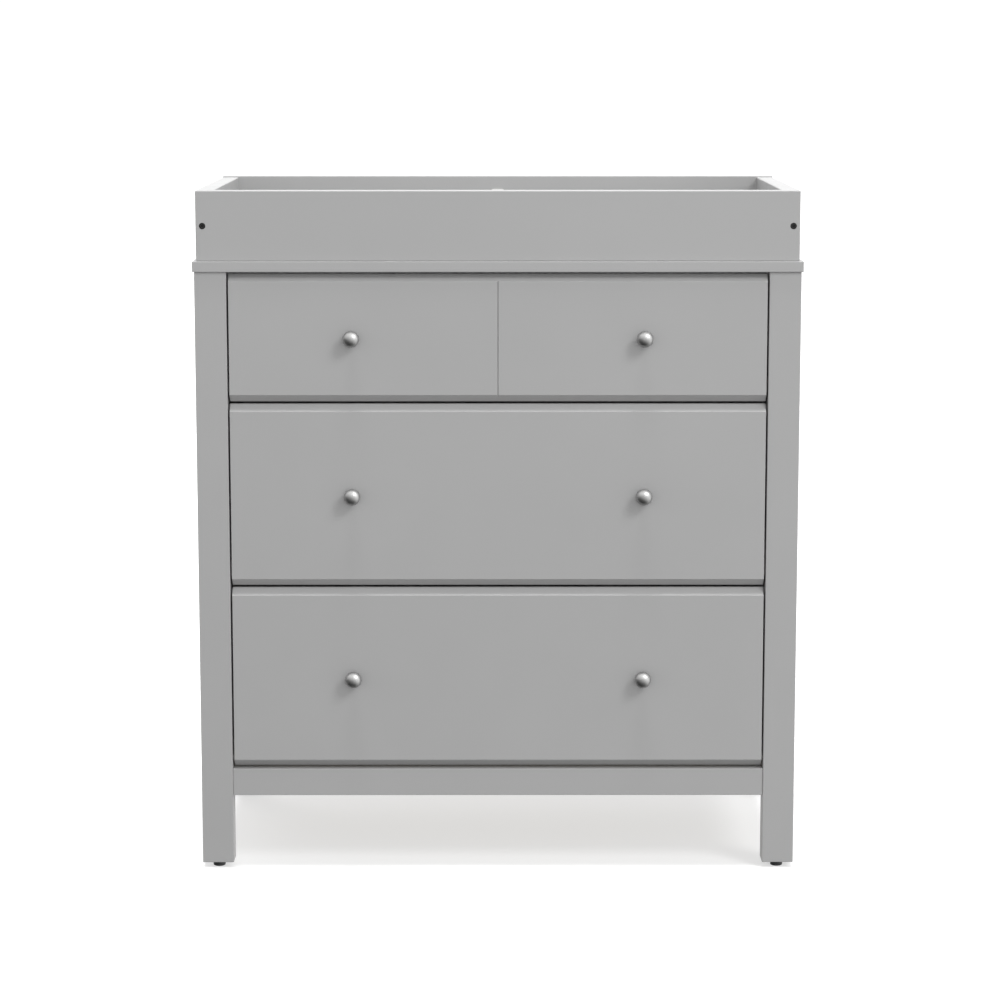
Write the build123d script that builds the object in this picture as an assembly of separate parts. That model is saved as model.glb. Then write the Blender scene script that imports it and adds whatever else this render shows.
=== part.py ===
from build123d import *
import os

os.makedirs("parts", exist_ok=True)

# Changing table: a three-drawer dresser with a changing tray bolted on its top.
# Millimetres. +Z is up, the drawers face -Y and +X is the right-hand side seen from the front.
# The origin is on the floor, under the centre of the overall box.

# ---------------------------------------------------------------- driving dimensions
TOP_WIDTH = 870.0
TOP_DEPTH = 470.0
TOP_THICKNESS = 15.0
TOP_EDGE = 1.5  # eased edges of the top board

GLIDE_HEIGHT = 8.0
GLIDE_RADIUS = 9.0
LEG_LENGTH = 866.0
LEG_WIDTH = 45.5
LEG_DEPTH = 34.0
FRAME_WIDTH = 865.0  # over the legs
FRONT_SETBACK = 4.0  # legs and drawers behind the top board's front edge
REAR_SETBACK = 5.0
LEG_EDGE = 1.0

PANEL_THICKNESS = 15.0
PANEL_INSET = 6.0  # side panels behind the legs' outer faces
GROOVE_DEPTH = 8.0
RAIL_THICKNESS = 18.0
STRETCHER_DEPTH = 50.0
DIVIDER_DROP = 4.0  # top of a divider rail, below the middle of the gap between two drawers
APRON_HEIGHT = 40.0
APRON_RECESS = 2.0
REAR_RAIL_HEIGHT = 60.0
BACK_THICKNESS = 3.0
BACK_LAP = 9.5

DRAWER_HEIGHTS = {"upper": 183.5, "middle": 264.5, "lower": 264.5}
SIDE_HEIGHTS = {"upper": 130.0, "middle": 190.0, "lower": 190.0}
DRAWER_GAP = 3.2
FRONT_WIDTH = 769.0
FRONT_THICKNESS = 18.0
BEVEL_HEIGHT = 10.4
BEVEL_DEPTH = 12.0
GROOVE_HALF_WIDTH = 1.0  # false-split V groove in the upper drawer front
GROOVE_DEPTH_V = 1.6
SIDE_THICKNESS = 12.0
BOX_LIFT = 14.0  # drawer box above the lower edge of its front
BOX_LENGTH = 393.0
HOUSING = 6.0  # depth of the housings and grooves in the drawer parts
BOTTOM_THICKNESS = 3.0
BOTTOM_LIFT = 8.0

KNOB_X = 209.5
KNOB_RADIUS = 12.0
KNOB_PROJECTION = 24.0

RUNNER_SPACE = 12.5
RUNNER_LENGTH = 400.0
SHEET = 1.2  # steel thickness of the runners
ROLLER_RADIUS = 9.5
ROLLER_WIDTH = 6.0
AXLE_RADIUS = 2.5
AXLE_CLEARANCE = 0.06
ROLLING_GAP = 0.3

TRAY_WIDTH = 859.0
TRAY_DEPTH = 458.0
TRAY_HEIGHT = 100.0
TRAY_BACK_EXTRA = 2.0  # the back rail stands a little above the others
TRAY_RAIL = 24.5
TRAY_SETBACK = 6.0
TRAY_EDGE = 1.0
BOLT_X = 420.0
BOLT_HEAD_RADIUS = 4.6
BRACE_LEG = 82.0
BRACE_WIDTH = 22.0
BRACE_THICKNESS = 2.5

FIT = 0.1  # radial clearance of fasteners in their holes

# ---------------------------------------------------------------- derived positions
FRONT_EDGE = -(TOP_DEPTH + KNOB_PROJECTION - FRONT_SETBACK) / 2  # y of the knobs' tips
TOP_FRONT = FRONT_EDGE + KNOB_PROJECTION - FRONT_SETBACK
TOP_BACK = TOP_FRONT + TOP_DEPTH
FACE_Y = TOP_FRONT + FRONT_SETBACK  # front faces of legs and drawers
REAR_Y = TOP_BACK - REAR_SETBACK  # rear faces of the rear legs
LEG_TOP = GLIDE_HEIGHT + LEG_LENGTH
TOP_Z = LEG_TOP + TOP_THICKNESS
LEG_OUT = FRAME_WIDTH / 2
LEG_IN = LEG_OUT - LEG_WIDTH
PANEL_OUT = LEG_OUT - PANEL_INSET
PANEL_IN = PANEL_OUT - PANEL_THICKNESS
LEG_BACK = FACE_Y + LEG_DEPTH  # rear face of a front leg
REAR_LEG_FRONT = REAR_Y - LEG_DEPTH
DRAWER_BACK = FACE_Y + FRONT_THICKNESS  # back face of a drawer front
STRETCHER_Y = (DRAWER_BACK + 2, DRAWER_BACK + 2 + STRETCHER_DEPTH)
REAR_RAIL_Y = (REAR_Y - BACK_THICKNESS - RAIL_THICKNESS, REAR_Y - BACK_THICKNESS)
BOX_REAR = DRAWER_BACK + BOX_LENGTH
BOX_OUT = LEG_IN - RUNNER_SPACE
BOX_IN = BOX_OUT - SIDE_THICKNESS
RUNNER_Y = (DRAWER_BACK + 3, DRAWER_BACK + 3 + RUNNER_LENGTH)

DRAWERS = {}  # name: (lower edge, upper edge) of the drawer front
edge = LEG_TOP
for drawer_name, front_height in DRAWER_HEIGHTS.items():
    edge -= DRAWER_GAP
    DRAWERS[drawer_name] = (edge - front_height, edge)
    edge -= front_height
APRON_TOP = edge - DRAWER_GAP
APRON_BOTTOM = APRON_TOP - APRON_HEIGHT
BOX_BOTTOM = {name: span[0] + BOX_LIFT for name, span in DRAWERS.items()}
KNOB_Z = {name: sum(span) / 2 for name, span in DRAWERS.items()}
UPPER_GAP = (DRAWERS["upper"][0] + DRAWERS["middle"][1]) / 2
LOWER_GAP = (DRAWERS["middle"][0] + DRAWERS["lower"][1]) / 2

TRAY_FRONT = TOP_FRONT + TRAY_SETBACK
TRAY_BACK = TRAY_FRONT + TRAY_DEPTH
TRAY_OUT = TRAY_WIDTH / 2
TRAY_IN = TRAY_OUT - TRAY_RAIL
BOLT_Z = TOP_Z + TRAY_HEIGHT / 2


# ---------------------------------------------------------------- helpers
def block(x, y, z):
    """A box between two x, two y and two z values."""
    size = (x[1] - x[0], y[1] - y[0], z[1] - z[0])
    return Pos((x[0] + x[1]) / 2, (y[0] + y[1]) / 2, (z[0] + z[1]) / 2) * Box(*size)


def rod(direction, start, length, radius):
    """A cylinder from the point start along a direction."""
    return extrude(Plane(start, z_dir=direction) * Circle(radius), amount=length)


def prism(plane, points, length):
    """An outline of points on a plane, carried along the plane's normal."""
    face = plane * Polygon(*points, align=None)
    return extrude(face, amount=length, dir=plane.z_dir)


def both_sides(shape):
    """A right-hand piece and its mirror image on the left."""
    return [shape, mirror(shape, about=Plane.YZ)]


def eased(shape, size):
    """The block with a small chamfer along all its edges."""
    return chamfer(shape.edges(), size)


def write(name, *pieces):
    """Writes one node; several pieces are kept as separate solids."""
    solids = [solid for piece in pieces for solid in piece.solids()]
    shape = solids[0] if len(solids) == 1 else Compound(children=solids)
    export_step(shape, f"parts/{name}.step")


# ---------------------------------------------------------------- cam fastenings between rails and legs
CAM_RADIUS = 7.5
CAM_HEIGHT = 12.0
CAM_SLOT = (10.0, 3.0)  # screwdriver slot: length and width, and also twice its depth
CAM_WALL = 2.0  # solid part of the lock beyond the bolt's end
STRETCHER_CAM_OFFSET = 16.0  # cams in front of a flat rail's centreline
CAM_SETBACK = 24.0  # from the rail's end to the cam's centre
STUD_RADIUS = 3.0
COLLAR_RADIUS = 4.5
COLLAR_LENGTH = 2.0
STUD_IN_LEG = 11.0
END_CLEARANCE = 0.5  # at the bottom of blind holes

cam_studs, cam_locks = [], []


def cam_joint(y, z, face, depth):
    """A cam bolt and its lock at the right-hand end of a rail, and the holes they need.

    The lock enters the rail along the unit vector face, and depth is from that face to the bolt.
    Returns the holes for the leg and for the rail.
    """
    end = Vector(LEG_IN, y, z)
    stud = rod((1, 0, 0), end, STUD_IN_LEG, STUD_RADIUS)
    stud += rod((-1, 0, 0), end, COLLAR_LENGTH, COLLAR_RADIUS)
    stud += rod((-1, 0, 0), end, CAM_SETBACK, STUD_RADIUS)
    centre = Vector(LEG_IN - CAM_SETBACK, y, z)
    inward = Vector(*face)
    mouth = centre - inward * depth
    lock = rod(face, mouth, CAM_HEIGHT, CAM_RADIUS)
    stud_way = CAM_RADIUS + 2 * CAM_WALL
    lock -= rod((1, 0, 0), centre - Vector(CAM_WALL, 0, 0), stud_way, STUD_RADIUS + END_CLEARANCE)
    lock -= Pos(*mouth) * Box(*[CAM_SLOT[0] if part == 0 else CAM_SLOT[1] for part in face])
    cam_studs.extend(both_sides(stud))
    cam_locks.extend(both_sides(lock))
    leg_hole = rod((1, 0, 0), end, STUD_IN_LEG + END_CLEARANCE, STUD_RADIUS + FIT)
    rail_hole = rod((-1, 0, 0), end, COLLAR_LENGTH + FIT, COLLAR_RADIUS + FIT)
    rail_hole += rod((-1, 0, 0), end, CAM_SETBACK, STUD_RADIUS + FIT)
    rail_hole += rod(face, mouth, CAM_HEIGHT + END_CLEARANCE, CAM_RADIUS + FIT)
    return leg_hole, rail_hole


# ---------------------------------------------------------------- rails between the legs
def rail_with_cams(y, z, fastenings):
    """A rail between the legs, drilled at both ends; also returns the leg holes it needs."""
    rail = block((-LEG_IN, LEG_IN), y, z)
    leg_holes = []
    for at_y, at_z, face, depth in fastenings:
        leg_hole, rail_hole = cam_joint(at_y, at_z, face, depth)
        leg_holes.append(leg_hole)
        for hole in both_sides(rail_hole):
            rail -= hole
    return rail, leg_holes


def stretcher(top):
    """A flat rail behind the drawer fronts, with cams in its underside."""
    mid_y, mid_z = sum(STRETCHER_Y) / 2 - STRETCHER_CAM_OFFSET, top - RAIL_THICKNESS / 2
    z = (top - RAIL_THICKNESS, top)
    return rail_with_cams(STRETCHER_Y, z, [(mid_y, mid_z, (0, 0, 1), RAIL_THICKNESS / 2)])


half_rail = RAIL_THICKNESS / 2
top_rail_bottom = LEG_TOP - RAIL_THICKNESS
front_top_rail, front_holes = stretcher(LEG_TOP)
upper_divider, holes = stretcher(UPPER_GAP - DIVIDER_DROP)
front_holes += holes
lower_divider, holes = stretcher(LOWER_GAP - DIVIDER_DROP)
front_holes += holes
bottom_rail, holes = stretcher(APRON_TOP)
front_holes += holes

apron_y = (FACE_Y + APRON_RECESS, FACE_Y + APRON_RECESS + RAIL_THICKNESS)
apron_mid = (APRON_BOTTOM + APRON_TOP) / 2
front_apron, holes = rail_with_cams(
    apron_y, (APRON_BOTTOM, APRON_TOP), [(sum(apron_y) / 2, apron_mid, (0, -1, 0), half_rail)]
)
front_holes += holes

rear_mid = sum(REAR_RAIL_Y) / 2
rear_top_z = (LEG_TOP - REAR_RAIL_HEIGHT, LEG_TOP)
rear_bottom_z = (APRON_BOTTOM, APRON_BOTTOM + REAR_RAIL_HEIGHT)
rear_top_rail, rear_holes = rail_with_cams(
    REAR_RAIL_Y, rear_top_z, [(rear_mid, sum(rear_top_z) / 2, (0, 1, 0), half_rail)]
)
rear_bottom_rail, holes = rail_with_cams(
    REAR_RAIL_Y, rear_bottom_z, [(rear_mid, sum(rear_bottom_z) / 2, (0, 1, 0), half_rail)]
)
rear_holes += holes

# ---------------------------------------------------------------- screws that hold the top board
SCREW_RADIUS = 2.0
SCREW_HEAD = 4.0
SCREW_HEAD_HEIGHT = 3.0
TOP_SCREW_Y = STRETCHER_Y[1] - 18.0
TOP_SCREW_X = (-300.0, 0.0, 300.0)
TOP_SCREW_REACH = 10.0  # into the top board

top_board = eased(block((-TOP_WIDTH / 2, TOP_WIDTH / 2), (TOP_FRONT, TOP_BACK), (LEG_TOP, TOP_Z)), TOP_EDGE)
top_screws = []
for x in TOP_SCREW_X:
    start = (x, TOP_SCREW_Y, top_rail_bottom)
    length = RAIL_THICKNESS + TOP_SCREW_REACH
    shank = rod((0, 0, 1), start, length, SCREW_RADIUS)
    head = rod((0, 0, 1), start, SCREW_HEAD_HEIGHT, SCREW_HEAD)
    top_screws.append(shank + head)
    front_top_rail -= rod((0, 0, 1), start, RAIL_THICKNESS, SCREW_RADIUS + FIT)
    front_top_rail -= rod((0, 0, 1), start, SCREW_HEAD_HEIGHT, SCREW_HEAD + FIT)
    top_board -= rod((0, 0, 1), start, length + END_CLEARANCE, SCREW_RADIUS + FIT)

# ---------------------------------------------------------------- cleats and cabinet runners
CLEAT_HEIGHT = 40.0
RUNNER_TOP = 21.8  # of the cabinet runner above the drawer box's lower edge
RUNNER_BOTTOM = -2.6
TRACK_Z = RUNNER_BOTTOM + SHEET  # the face that the drawer's roller rolls on
FLANGE_Z = 18.8  # underside of the drawer runner's upper flange
FLANGE_REACH = 8.5
TRACK_REACH = 10.5
HOOD_START = 30.0  # the hood over the drawer's roller, from the runner's front end
ROLLER_INSET = 13.0  # from the ends of the runners
CABINET_ROLLER_Y = RUNNER_Y[0] + ROLLER_INSET
DRAWER_ROLLER_Y = BOX_REAR - ROLLER_INSET
CABINET_ROLLER_Z = FLANGE_Z - ROLLING_GAP - ROLLER_RADIUS
DRAWER_ROLLER_Z = TRACK_Z + ROLLING_GAP + ROLLER_RADIUS
RUNNER_SCREW_Y = (RUNNER_Y[0] + 36.0, 0.0, RUNNER_Y[1] - 30.0)
RUNNER_SCREW_RADIUS = 1.75
RUNNER_SCREW_LENGTH = 15.0
RUNNER_SCREW_HEAD = (3.2, 1.0)  # radius and height
ROLLER_EDGE = 0.8
ROLLER_PLAY = 0.8  # between a roller and the web that holds its axle
AXLE_LENGTH = 8.0
AXLE_HEAD = (3.5, 0.8)  # radius and height

web_face = LEG_IN - SHEET  # inner face of the cabinet runner's web
drawer_web = BOX_OUT + SHEET  # outer face of the drawer runner's web
cleats, cabinet_runners, runner_screws = [], [], []


def roller(x, y, z):
    """A nylon roller about the X axis, from x outwards, with a bore and eased rims."""
    wheel = rod((1, 0, 0), (x, y, z), ROLLER_WIDTH, ROLLER_RADIUS)
    wheel = chamfer(wheel.edges().filter_by(GeomType.CIRCLE), ROLLER_EDGE)
    return wheel - rod((1, 0, 0), (x, y, z), ROLLER_WIDTH, AXLE_RADIUS + AXLE_CLEARANCE)


def axle(x, y, z, direction):
    """A staked axle that stands off a runner's web along X, with its retaining head."""
    head_radius, head_height = AXLE_HEAD
    head_x = x + direction * (AXLE_LENGTH - head_height)
    pin = rod((direction, 0, 0), (x, y, z), AXLE_LENGTH, AXLE_RADIUS)
    return pin + rod((direction, 0, 0), (head_x, y, z), head_height, head_radius)


for name, bottom in BOX_BOTTOM.items():
    z_low, z_high = bottom + RUNNER_BOTTOM, bottom + RUNNER_TOP
    cleat_mid = (z_low + z_high) / 2
    cleat = block(
        (LEG_IN, PANEL_IN),
        (LEG_BACK, REAR_LEG_FRONT),
        (cleat_mid - CLEAT_HEIGHT / 2, cleat_mid + CLEAT_HEIGHT / 2),
    )
    web = block((web_face, LEG_IN), RUNNER_Y, (z_low, z_high))
    track = block((LEG_IN - TRACK_REACH, LEG_IN), RUNNER_Y, (z_low, z_low + SHEET))
    hood_y = (RUNNER_Y[0] + HOOD_START, RUNNER_Y[1])
    hood = block((LEG_IN - FLANGE_REACH, LEG_IN), hood_y, (z_high - SHEET, z_high))
    runner = web + track + hood
    runner += axle(web_face, CABINET_ROLLER_Y, bottom + CABINET_ROLLER_Z, -1)
    for y in RUNNER_SCREW_Y:
        head_radius, head_height = RUNNER_SCREW_HEAD
        at = (web_face - head_height, y, cleat_mid)
        shank = rod((1, 0, 0), at, RUNNER_SCREW_LENGTH, RUNNER_SCREW_RADIUS)
        runner_screws.extend(both_sides(shank + rod((1, 0, 0), at, head_height, head_radius)))
        hole = rod((1, 0, 0), at, RUNNER_SCREW_LENGTH + END_CLEARANCE, RUNNER_SCREW_RADIUS + FIT)
        runner -= hole
        cleat -= hole
    cabinet_runners.extend(both_sides(runner))
    cleats.extend(both_sides(cleat))
    wheel_x = web_face - ROLLER_PLAY - ROLLER_WIDTH
    wheel = roller(wheel_x, CABINET_ROLLER_Y, bottom + CABINET_ROLLER_Z)
    write(f"{name}_cabinet_rollers", *both_sides(wheel))

# ---------------------------------------------------------------- legs, side panels and glides
GLIDE_EDGE = 1.2
GLIDE_NAIL = (1.5, 15.0)  # radius and length

panel_z = (APRON_BOTTOM, LEG_TOP)
panel_y = (LEG_BACK - GROOVE_DEPTH, REAR_LEG_FRONT + GROOVE_DEPTH)
side_panel = block((PANEL_IN, PANEL_OUT), panel_y, panel_z)


def leg(y, holes):
    """A right-hand leg with the panel's groove, the cam bolts' holes and the glide's hole."""
    post = eased(block((LEG_IN, LEG_OUT), y, (GLIDE_HEIGHT, LEG_TOP)), LEG_EDGE)
    post -= side_panel
    for hole in holes:
        post -= hole
    nail = (LEG_IN + LEG_WIDTH / 2, sum(y) / 2, GLIDE_HEIGHT)
    return post - rod((0, 0, 1), nail, GLIDE_NAIL[1] + END_CLEARANCE, GLIDE_NAIL[0] + FIT)


front_leg = leg((FACE_Y, LEG_BACK), front_holes)
rear_leg = leg((REAR_LEG_FRONT, REAR_Y), rear_holes)
back_x = LEG_IN + BACK_LAP
back_z = (APRON_BOTTOM, LEG_TOP)
rear_leg -= block((LEG_IN - 1, back_x), (REAR_Y - BACK_THICKNESS, REAR_Y + 1), back_z)

glides = []
for y in ((FACE_Y + LEG_BACK) / 2, (REAR_LEG_FRONT + REAR_Y) / 2):
    x = LEG_IN + LEG_WIDTH / 2
    disc = rod((0, 0, 1), (x, y, 0), GLIDE_HEIGHT, GLIDE_RADIUS)
    disc = chamfer(disc.edges().group_by(Axis.Z)[0], GLIDE_EDGE)
    disc += rod((0, 0, 1), (x, y, GLIDE_HEIGHT), GLIDE_NAIL[1], GLIDE_NAIL[0])
    glides.extend(both_sides(disc))

for side, index in (("right", 0), ("left", 1)):
    write(f"front_{side}_leg", both_sides(front_leg)[index])
    write(f"rear_{side}_leg", both_sides(rear_leg)[index])
    write(f"{side}_side_panel", both_sides(side_panel)[index])

# ---------------------------------------------------------------- back panel, its nails and the anchor holes
NAIL_RADIUS = 0.9
NAIL_LENGTH = 14.0
NAIL_HEAD = (2.2, 0.8)  # radius and height
NAIL_X = [110.0 * step for step in range(-3, 4)]
NAIL_DROP = 14.0  # below the rails' centrelines
ANCHOR_SPACING = 32.0
ANCHOR_RADIUS = 1.5
ANCHOR_DEPTH = 15.0
ANCHOR_Z = LEG_TOP - 20.0

back_panel = block((-back_x + 0.5, back_x - 0.5), (REAR_Y - BACK_THICKNESS, REAR_Y), back_z)
nail_rows = [sum(rail_z) / 2 - NAIL_DROP for rail_z in (rear_top_z, rear_bottom_z)]
nails = []
for x, z in [(x, z) for x in NAIL_X for z in nail_rows]:
    nail = rod((0, -1, 0), (x, REAR_Y, z), NAIL_LENGTH, NAIL_RADIUS)
    nail += rod((0, 1, 0), (x, REAR_Y, z), NAIL_HEAD[1], NAIL_HEAD[0])
    nails.append(nail)
    hole = rod((0, -1, 0), (x, REAR_Y, z), NAIL_LENGTH + END_CLEARANCE, NAIL_RADIUS + FIT)
    back_panel -= hole
    if z > UPPER_GAP:
        rear_top_rail -= hole
    else:
        rear_bottom_rail -= hole

for x in (-ANCHOR_SPACING / 2, ANCHOR_SPACING / 2):
    pilot = rod((0, -1, 0), (x, REAR_Y, ANCHOR_Z), ANCHOR_DEPTH, ANCHOR_RADIUS)
    back_panel -= pilot
    rear_top_rail -= pilot

# ---------------------------------------------------------------- changing tray
BOLT_RADIUS = 3.0
BOLT_LENGTH = 45.0
BOLT_HEAD_HEIGHT = 5.0
BOLT_SINK = 0.4
KEY_RADIUS = 2.6  # hexagonal socket, to its corners
KEY_DEPTH = 3.0
NUT_RADIUS = 5.0
NUT_LENGTH = 14.0
NUT_SETBACK = 16.0  # nut's centre from the side rail's end
NUT_SLOT = (2.0, 1.2)  # depth and width

side_y = (TRAY_FRONT + TRAY_RAIL, TRAY_BACK - TRAY_RAIL)
rail_x = (-TRAY_OUT, TRAY_OUT)
tray_z = (TOP_Z, TOP_Z + TRAY_HEIGHT)
tray_back_z = (TOP_Z, TOP_Z + TRAY_HEIGHT + TRAY_BACK_EXTRA)
tray_front = eased(block(rail_x, (TRAY_FRONT, side_y[0]), tray_z), TRAY_EDGE)
tray_back = eased(block(rail_x, (side_y[1], TRAY_BACK), tray_back_z), TRAY_EDGE)
tray_side = block((TRAY_IN, TRAY_OUT), side_y, tray_z)
tray_side = chamfer(tray_side.edges().filter_by(Axis.Y), TRAY_EDGE)
tray_bolts, tray_nuts = [], []

for face, inward in ((TRAY_FRONT, 1), (TRAY_BACK, -1)):
    head_face = face + inward * BOLT_SINK
    head_base = head_face + inward * BOLT_HEAD_HEIGHT
    bolt = rod((0, inward, 0), (BOLT_X, head_face, BOLT_Z), BOLT_HEAD_HEIGHT, BOLT_HEAD_RADIUS)
    bolt += rod((0, inward, 0), (BOLT_X, head_base, BOLT_Z), BOLT_LENGTH, BOLT_RADIUS)
    key = Plane((BOLT_X, head_face, BOLT_Z), z_dir=(0, inward, 0)) * RegularPolygon(KEY_RADIUS, 6)
    bolt -= extrude(key, amount=KEY_DEPTH, dir=(0, inward, 0))
    tray_bolts.extend(both_sides(bolt))
    nut_y = face + inward * (TRAY_RAIL + NUT_SETBACK)
    nut = rod((1, 0, 0), (BOLT_X - NUT_LENGTH / 2, nut_y, BOLT_Z), NUT_LENGTH, NUT_RADIUS)
    nut -= rod((0, 1, 0), (BOLT_X, nut_y - NUT_RADIUS, BOLT_Z), 2 * NUT_RADIUS, BOLT_RADIUS + FIT)
    nut -= Pos(BOLT_X - NUT_LENGTH / 2, nut_y, BOLT_Z) * Box(*NUT_SLOT, 2 * NUT_RADIUS + 1)
    tray_nuts.extend(both_sides(nut))
    clearance = rod((0, inward, 0), (BOLT_X, face, BOLT_Z), BOLT_LENGTH + BOLT_HEAD_HEIGHT + 3,
                    BOLT_RADIUS + FIT)
    clearance += rod((0, inward, 0), (BOLT_X, face, BOLT_Z), BOLT_SINK + BOLT_HEAD_HEIGHT,
                     BOLT_HEAD_RADIUS + FIT)
    nut_hole_depth = BOLT_X + NUT_LENGTH / 2 - TRAY_IN + END_CLEARANCE
    nut_hole = rod((1, 0, 0), (TRAY_IN, nut_y, BOLT_Z), nut_hole_depth, NUT_RADIUS + FIT)
    for hole in both_sides(clearance):
        if inward > 0:
            tray_front -= hole
        else:
            tray_back -= hole
    tray_side -= clearance + nut_hole

BRACE_BEND = 2.0
BRACE_CORNER = 5.0
BRACE_HOLES = (26.0, 62.0)  # from the corner
BRACE_SCREW_HEAD = (3.8, 1.2)  # radius and height
BRACE_SCREW_IN_RAIL = 11.3
BRACE_SCREW_IN_TOP = 9.3

wall_face = side_y[1] - BRACE_THICKNESS
foot_face = TOP_Z + BRACE_THICKNESS
half_width = (-BRACE_WIDTH / 2, BRACE_WIDTH / 2)
brace = block(half_width, (wall_face, side_y[1]), (TOP_Z, TOP_Z + BRACE_LEG))
brace += block(half_width, (side_y[1] - BRACE_LEG, side_y[1]), (TOP_Z, foot_face))
inner_bend = brace.edges().filter_by(Axis.X).sort_by_distance((0, wall_face, foot_face))[0]
brace = fillet(inner_bend, BRACE_BEND)
brace = fillet(brace.faces().sort_by(Axis.Z)[-1].edges().filter_by(Axis.Y), BRACE_CORNER)
brace = fillet(brace.faces().sort_by(Axis.Y)[0].edges().filter_by(Axis.Z), BRACE_CORNER)


def brace_screw(direction, seat, length):
    """A screw whose head sits on the brace at the point seat, and the hole that it needs."""
    head_radius, head_height = BRACE_SCREW_HEAD
    top = Vector(*seat) - Vector(*direction) * head_height
    screw = rod(direction, top, head_height + length, SCREW_RADIUS)
    screw += rod(direction, top, head_height, head_radius)
    return screw, rod(direction, seat, length + END_CLEARANCE, SCREW_RADIUS + FIT)


brace_screws = []
for reach in BRACE_HOLES:
    wall_screw, wall_hole = brace_screw((0, 1, 0), (0, wall_face, TOP_Z + reach), BRACE_SCREW_IN_RAIL)
    foot_screw, foot_hole = brace_screw((0, 0, -1), (0, side_y[1] - reach, foot_face), BRACE_SCREW_IN_TOP)
    brace_screws += [wall_screw, foot_screw]
    brace -= wall_hole + foot_hole
    tray_back -= wall_hole
    top_board -= foot_hole

# ---------------------------------------------------------------- drawers
KNOB_HOLE = 2.2
KNOB_HOLE_DEPTH = 11.0
KNOB_FOOT = (6.5, 1.6)  # radius and height of the foot on the drawer's face
KNOB_WAIST = 4.6
KNOB_WAIST_SPAN = (3.6, 7.0)  # from the drawer's face
KNOB_UNDERSIDE = (9.8, 9.3)  # radius and distance from the face, midway along the underside
KNOB_WIDEST = 14.0  # from the drawer's face to the knob's greatest radius
KNOB_SHOULDER = (8.9, 21.1)  # radius and distance from the face, midway over the cap
KNOB_SCREW_HEAD = (4.5, 2.2)  # radius and height
KNOB_SCREW_IN_KNOB = 9.0
BACK_DROP = 6.0  # drawer back below the drawer sides' top edges

foot_radius, foot_height = KNOB_FOOT
waist_start, waist_end = KNOB_WAIST_SPAN
knob_profile = make_face([
    Polyline(
        (KNOB_HOLE, -KNOB_HOLE_DEPTH), (KNOB_HOLE, 0), (foot_radius, 0), (foot_radius, -foot_height),
        (KNOB_WAIST, -waist_start), (KNOB_WAIST, -waist_end),
    ),
    Spline(
        (KNOB_WAIST, -waist_end), (KNOB_UNDERSIDE[0], -KNOB_UNDERSIDE[1]), (KNOB_RADIUS, -KNOB_WIDEST),
        tangents=((1, 0), (0, -1)),
    ),
    Spline(
        (KNOB_RADIUS, -KNOB_WIDEST), (KNOB_SHOULDER[0], -KNOB_SHOULDER[1]), (0, -KNOB_PROJECTION),
        tangents=((0, -1), (-1, 0)),
    ),
    Polyline((0, -KNOB_PROJECTION), (0, -KNOB_HOLE_DEPTH), (KNOB_HOLE, -KNOB_HOLE_DEPTH)),
])
knob_shape = revolve(knob_profile, Axis.Y)


def drawer_front(bottom, top):
    """A drawer front, bevelled along its upper and lower edges."""
    outline = [
        (DRAWER_BACK, bottom),
        (FACE_Y + BEVEL_DEPTH, bottom),
        (FACE_Y, bottom + BEVEL_HEIGHT),
        (FACE_Y, top - BEVEL_HEIGHT),
        (FACE_Y + BEVEL_DEPTH, top),
        (DRAWER_BACK, top),
    ]
    return prism(Plane.YZ.offset(-FRONT_WIDTH / 2), outline, FRONT_WIDTH)


def drawer_runner(bottom):
    """A right-hand drawer runner: web, foot under the side, upper flange and roller axle."""
    y = (DRAWER_BACK + 2, BOX_REAR)
    shape = block((BOX_OUT, drawer_web), y, (bottom - SHEET, bottom + FLANGE_Z + SHEET))
    shape += block((BOX_IN, drawer_web), y, (bottom - SHEET, bottom))
    shape += block((BOX_OUT, BOX_OUT + FLANGE_REACH), y, (bottom + FLANGE_Z, bottom + FLANGE_Z + SHEET))
    return shape + axle(drawer_web, DRAWER_ROLLER_Y, bottom + DRAWER_ROLLER_Z, 1)


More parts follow.
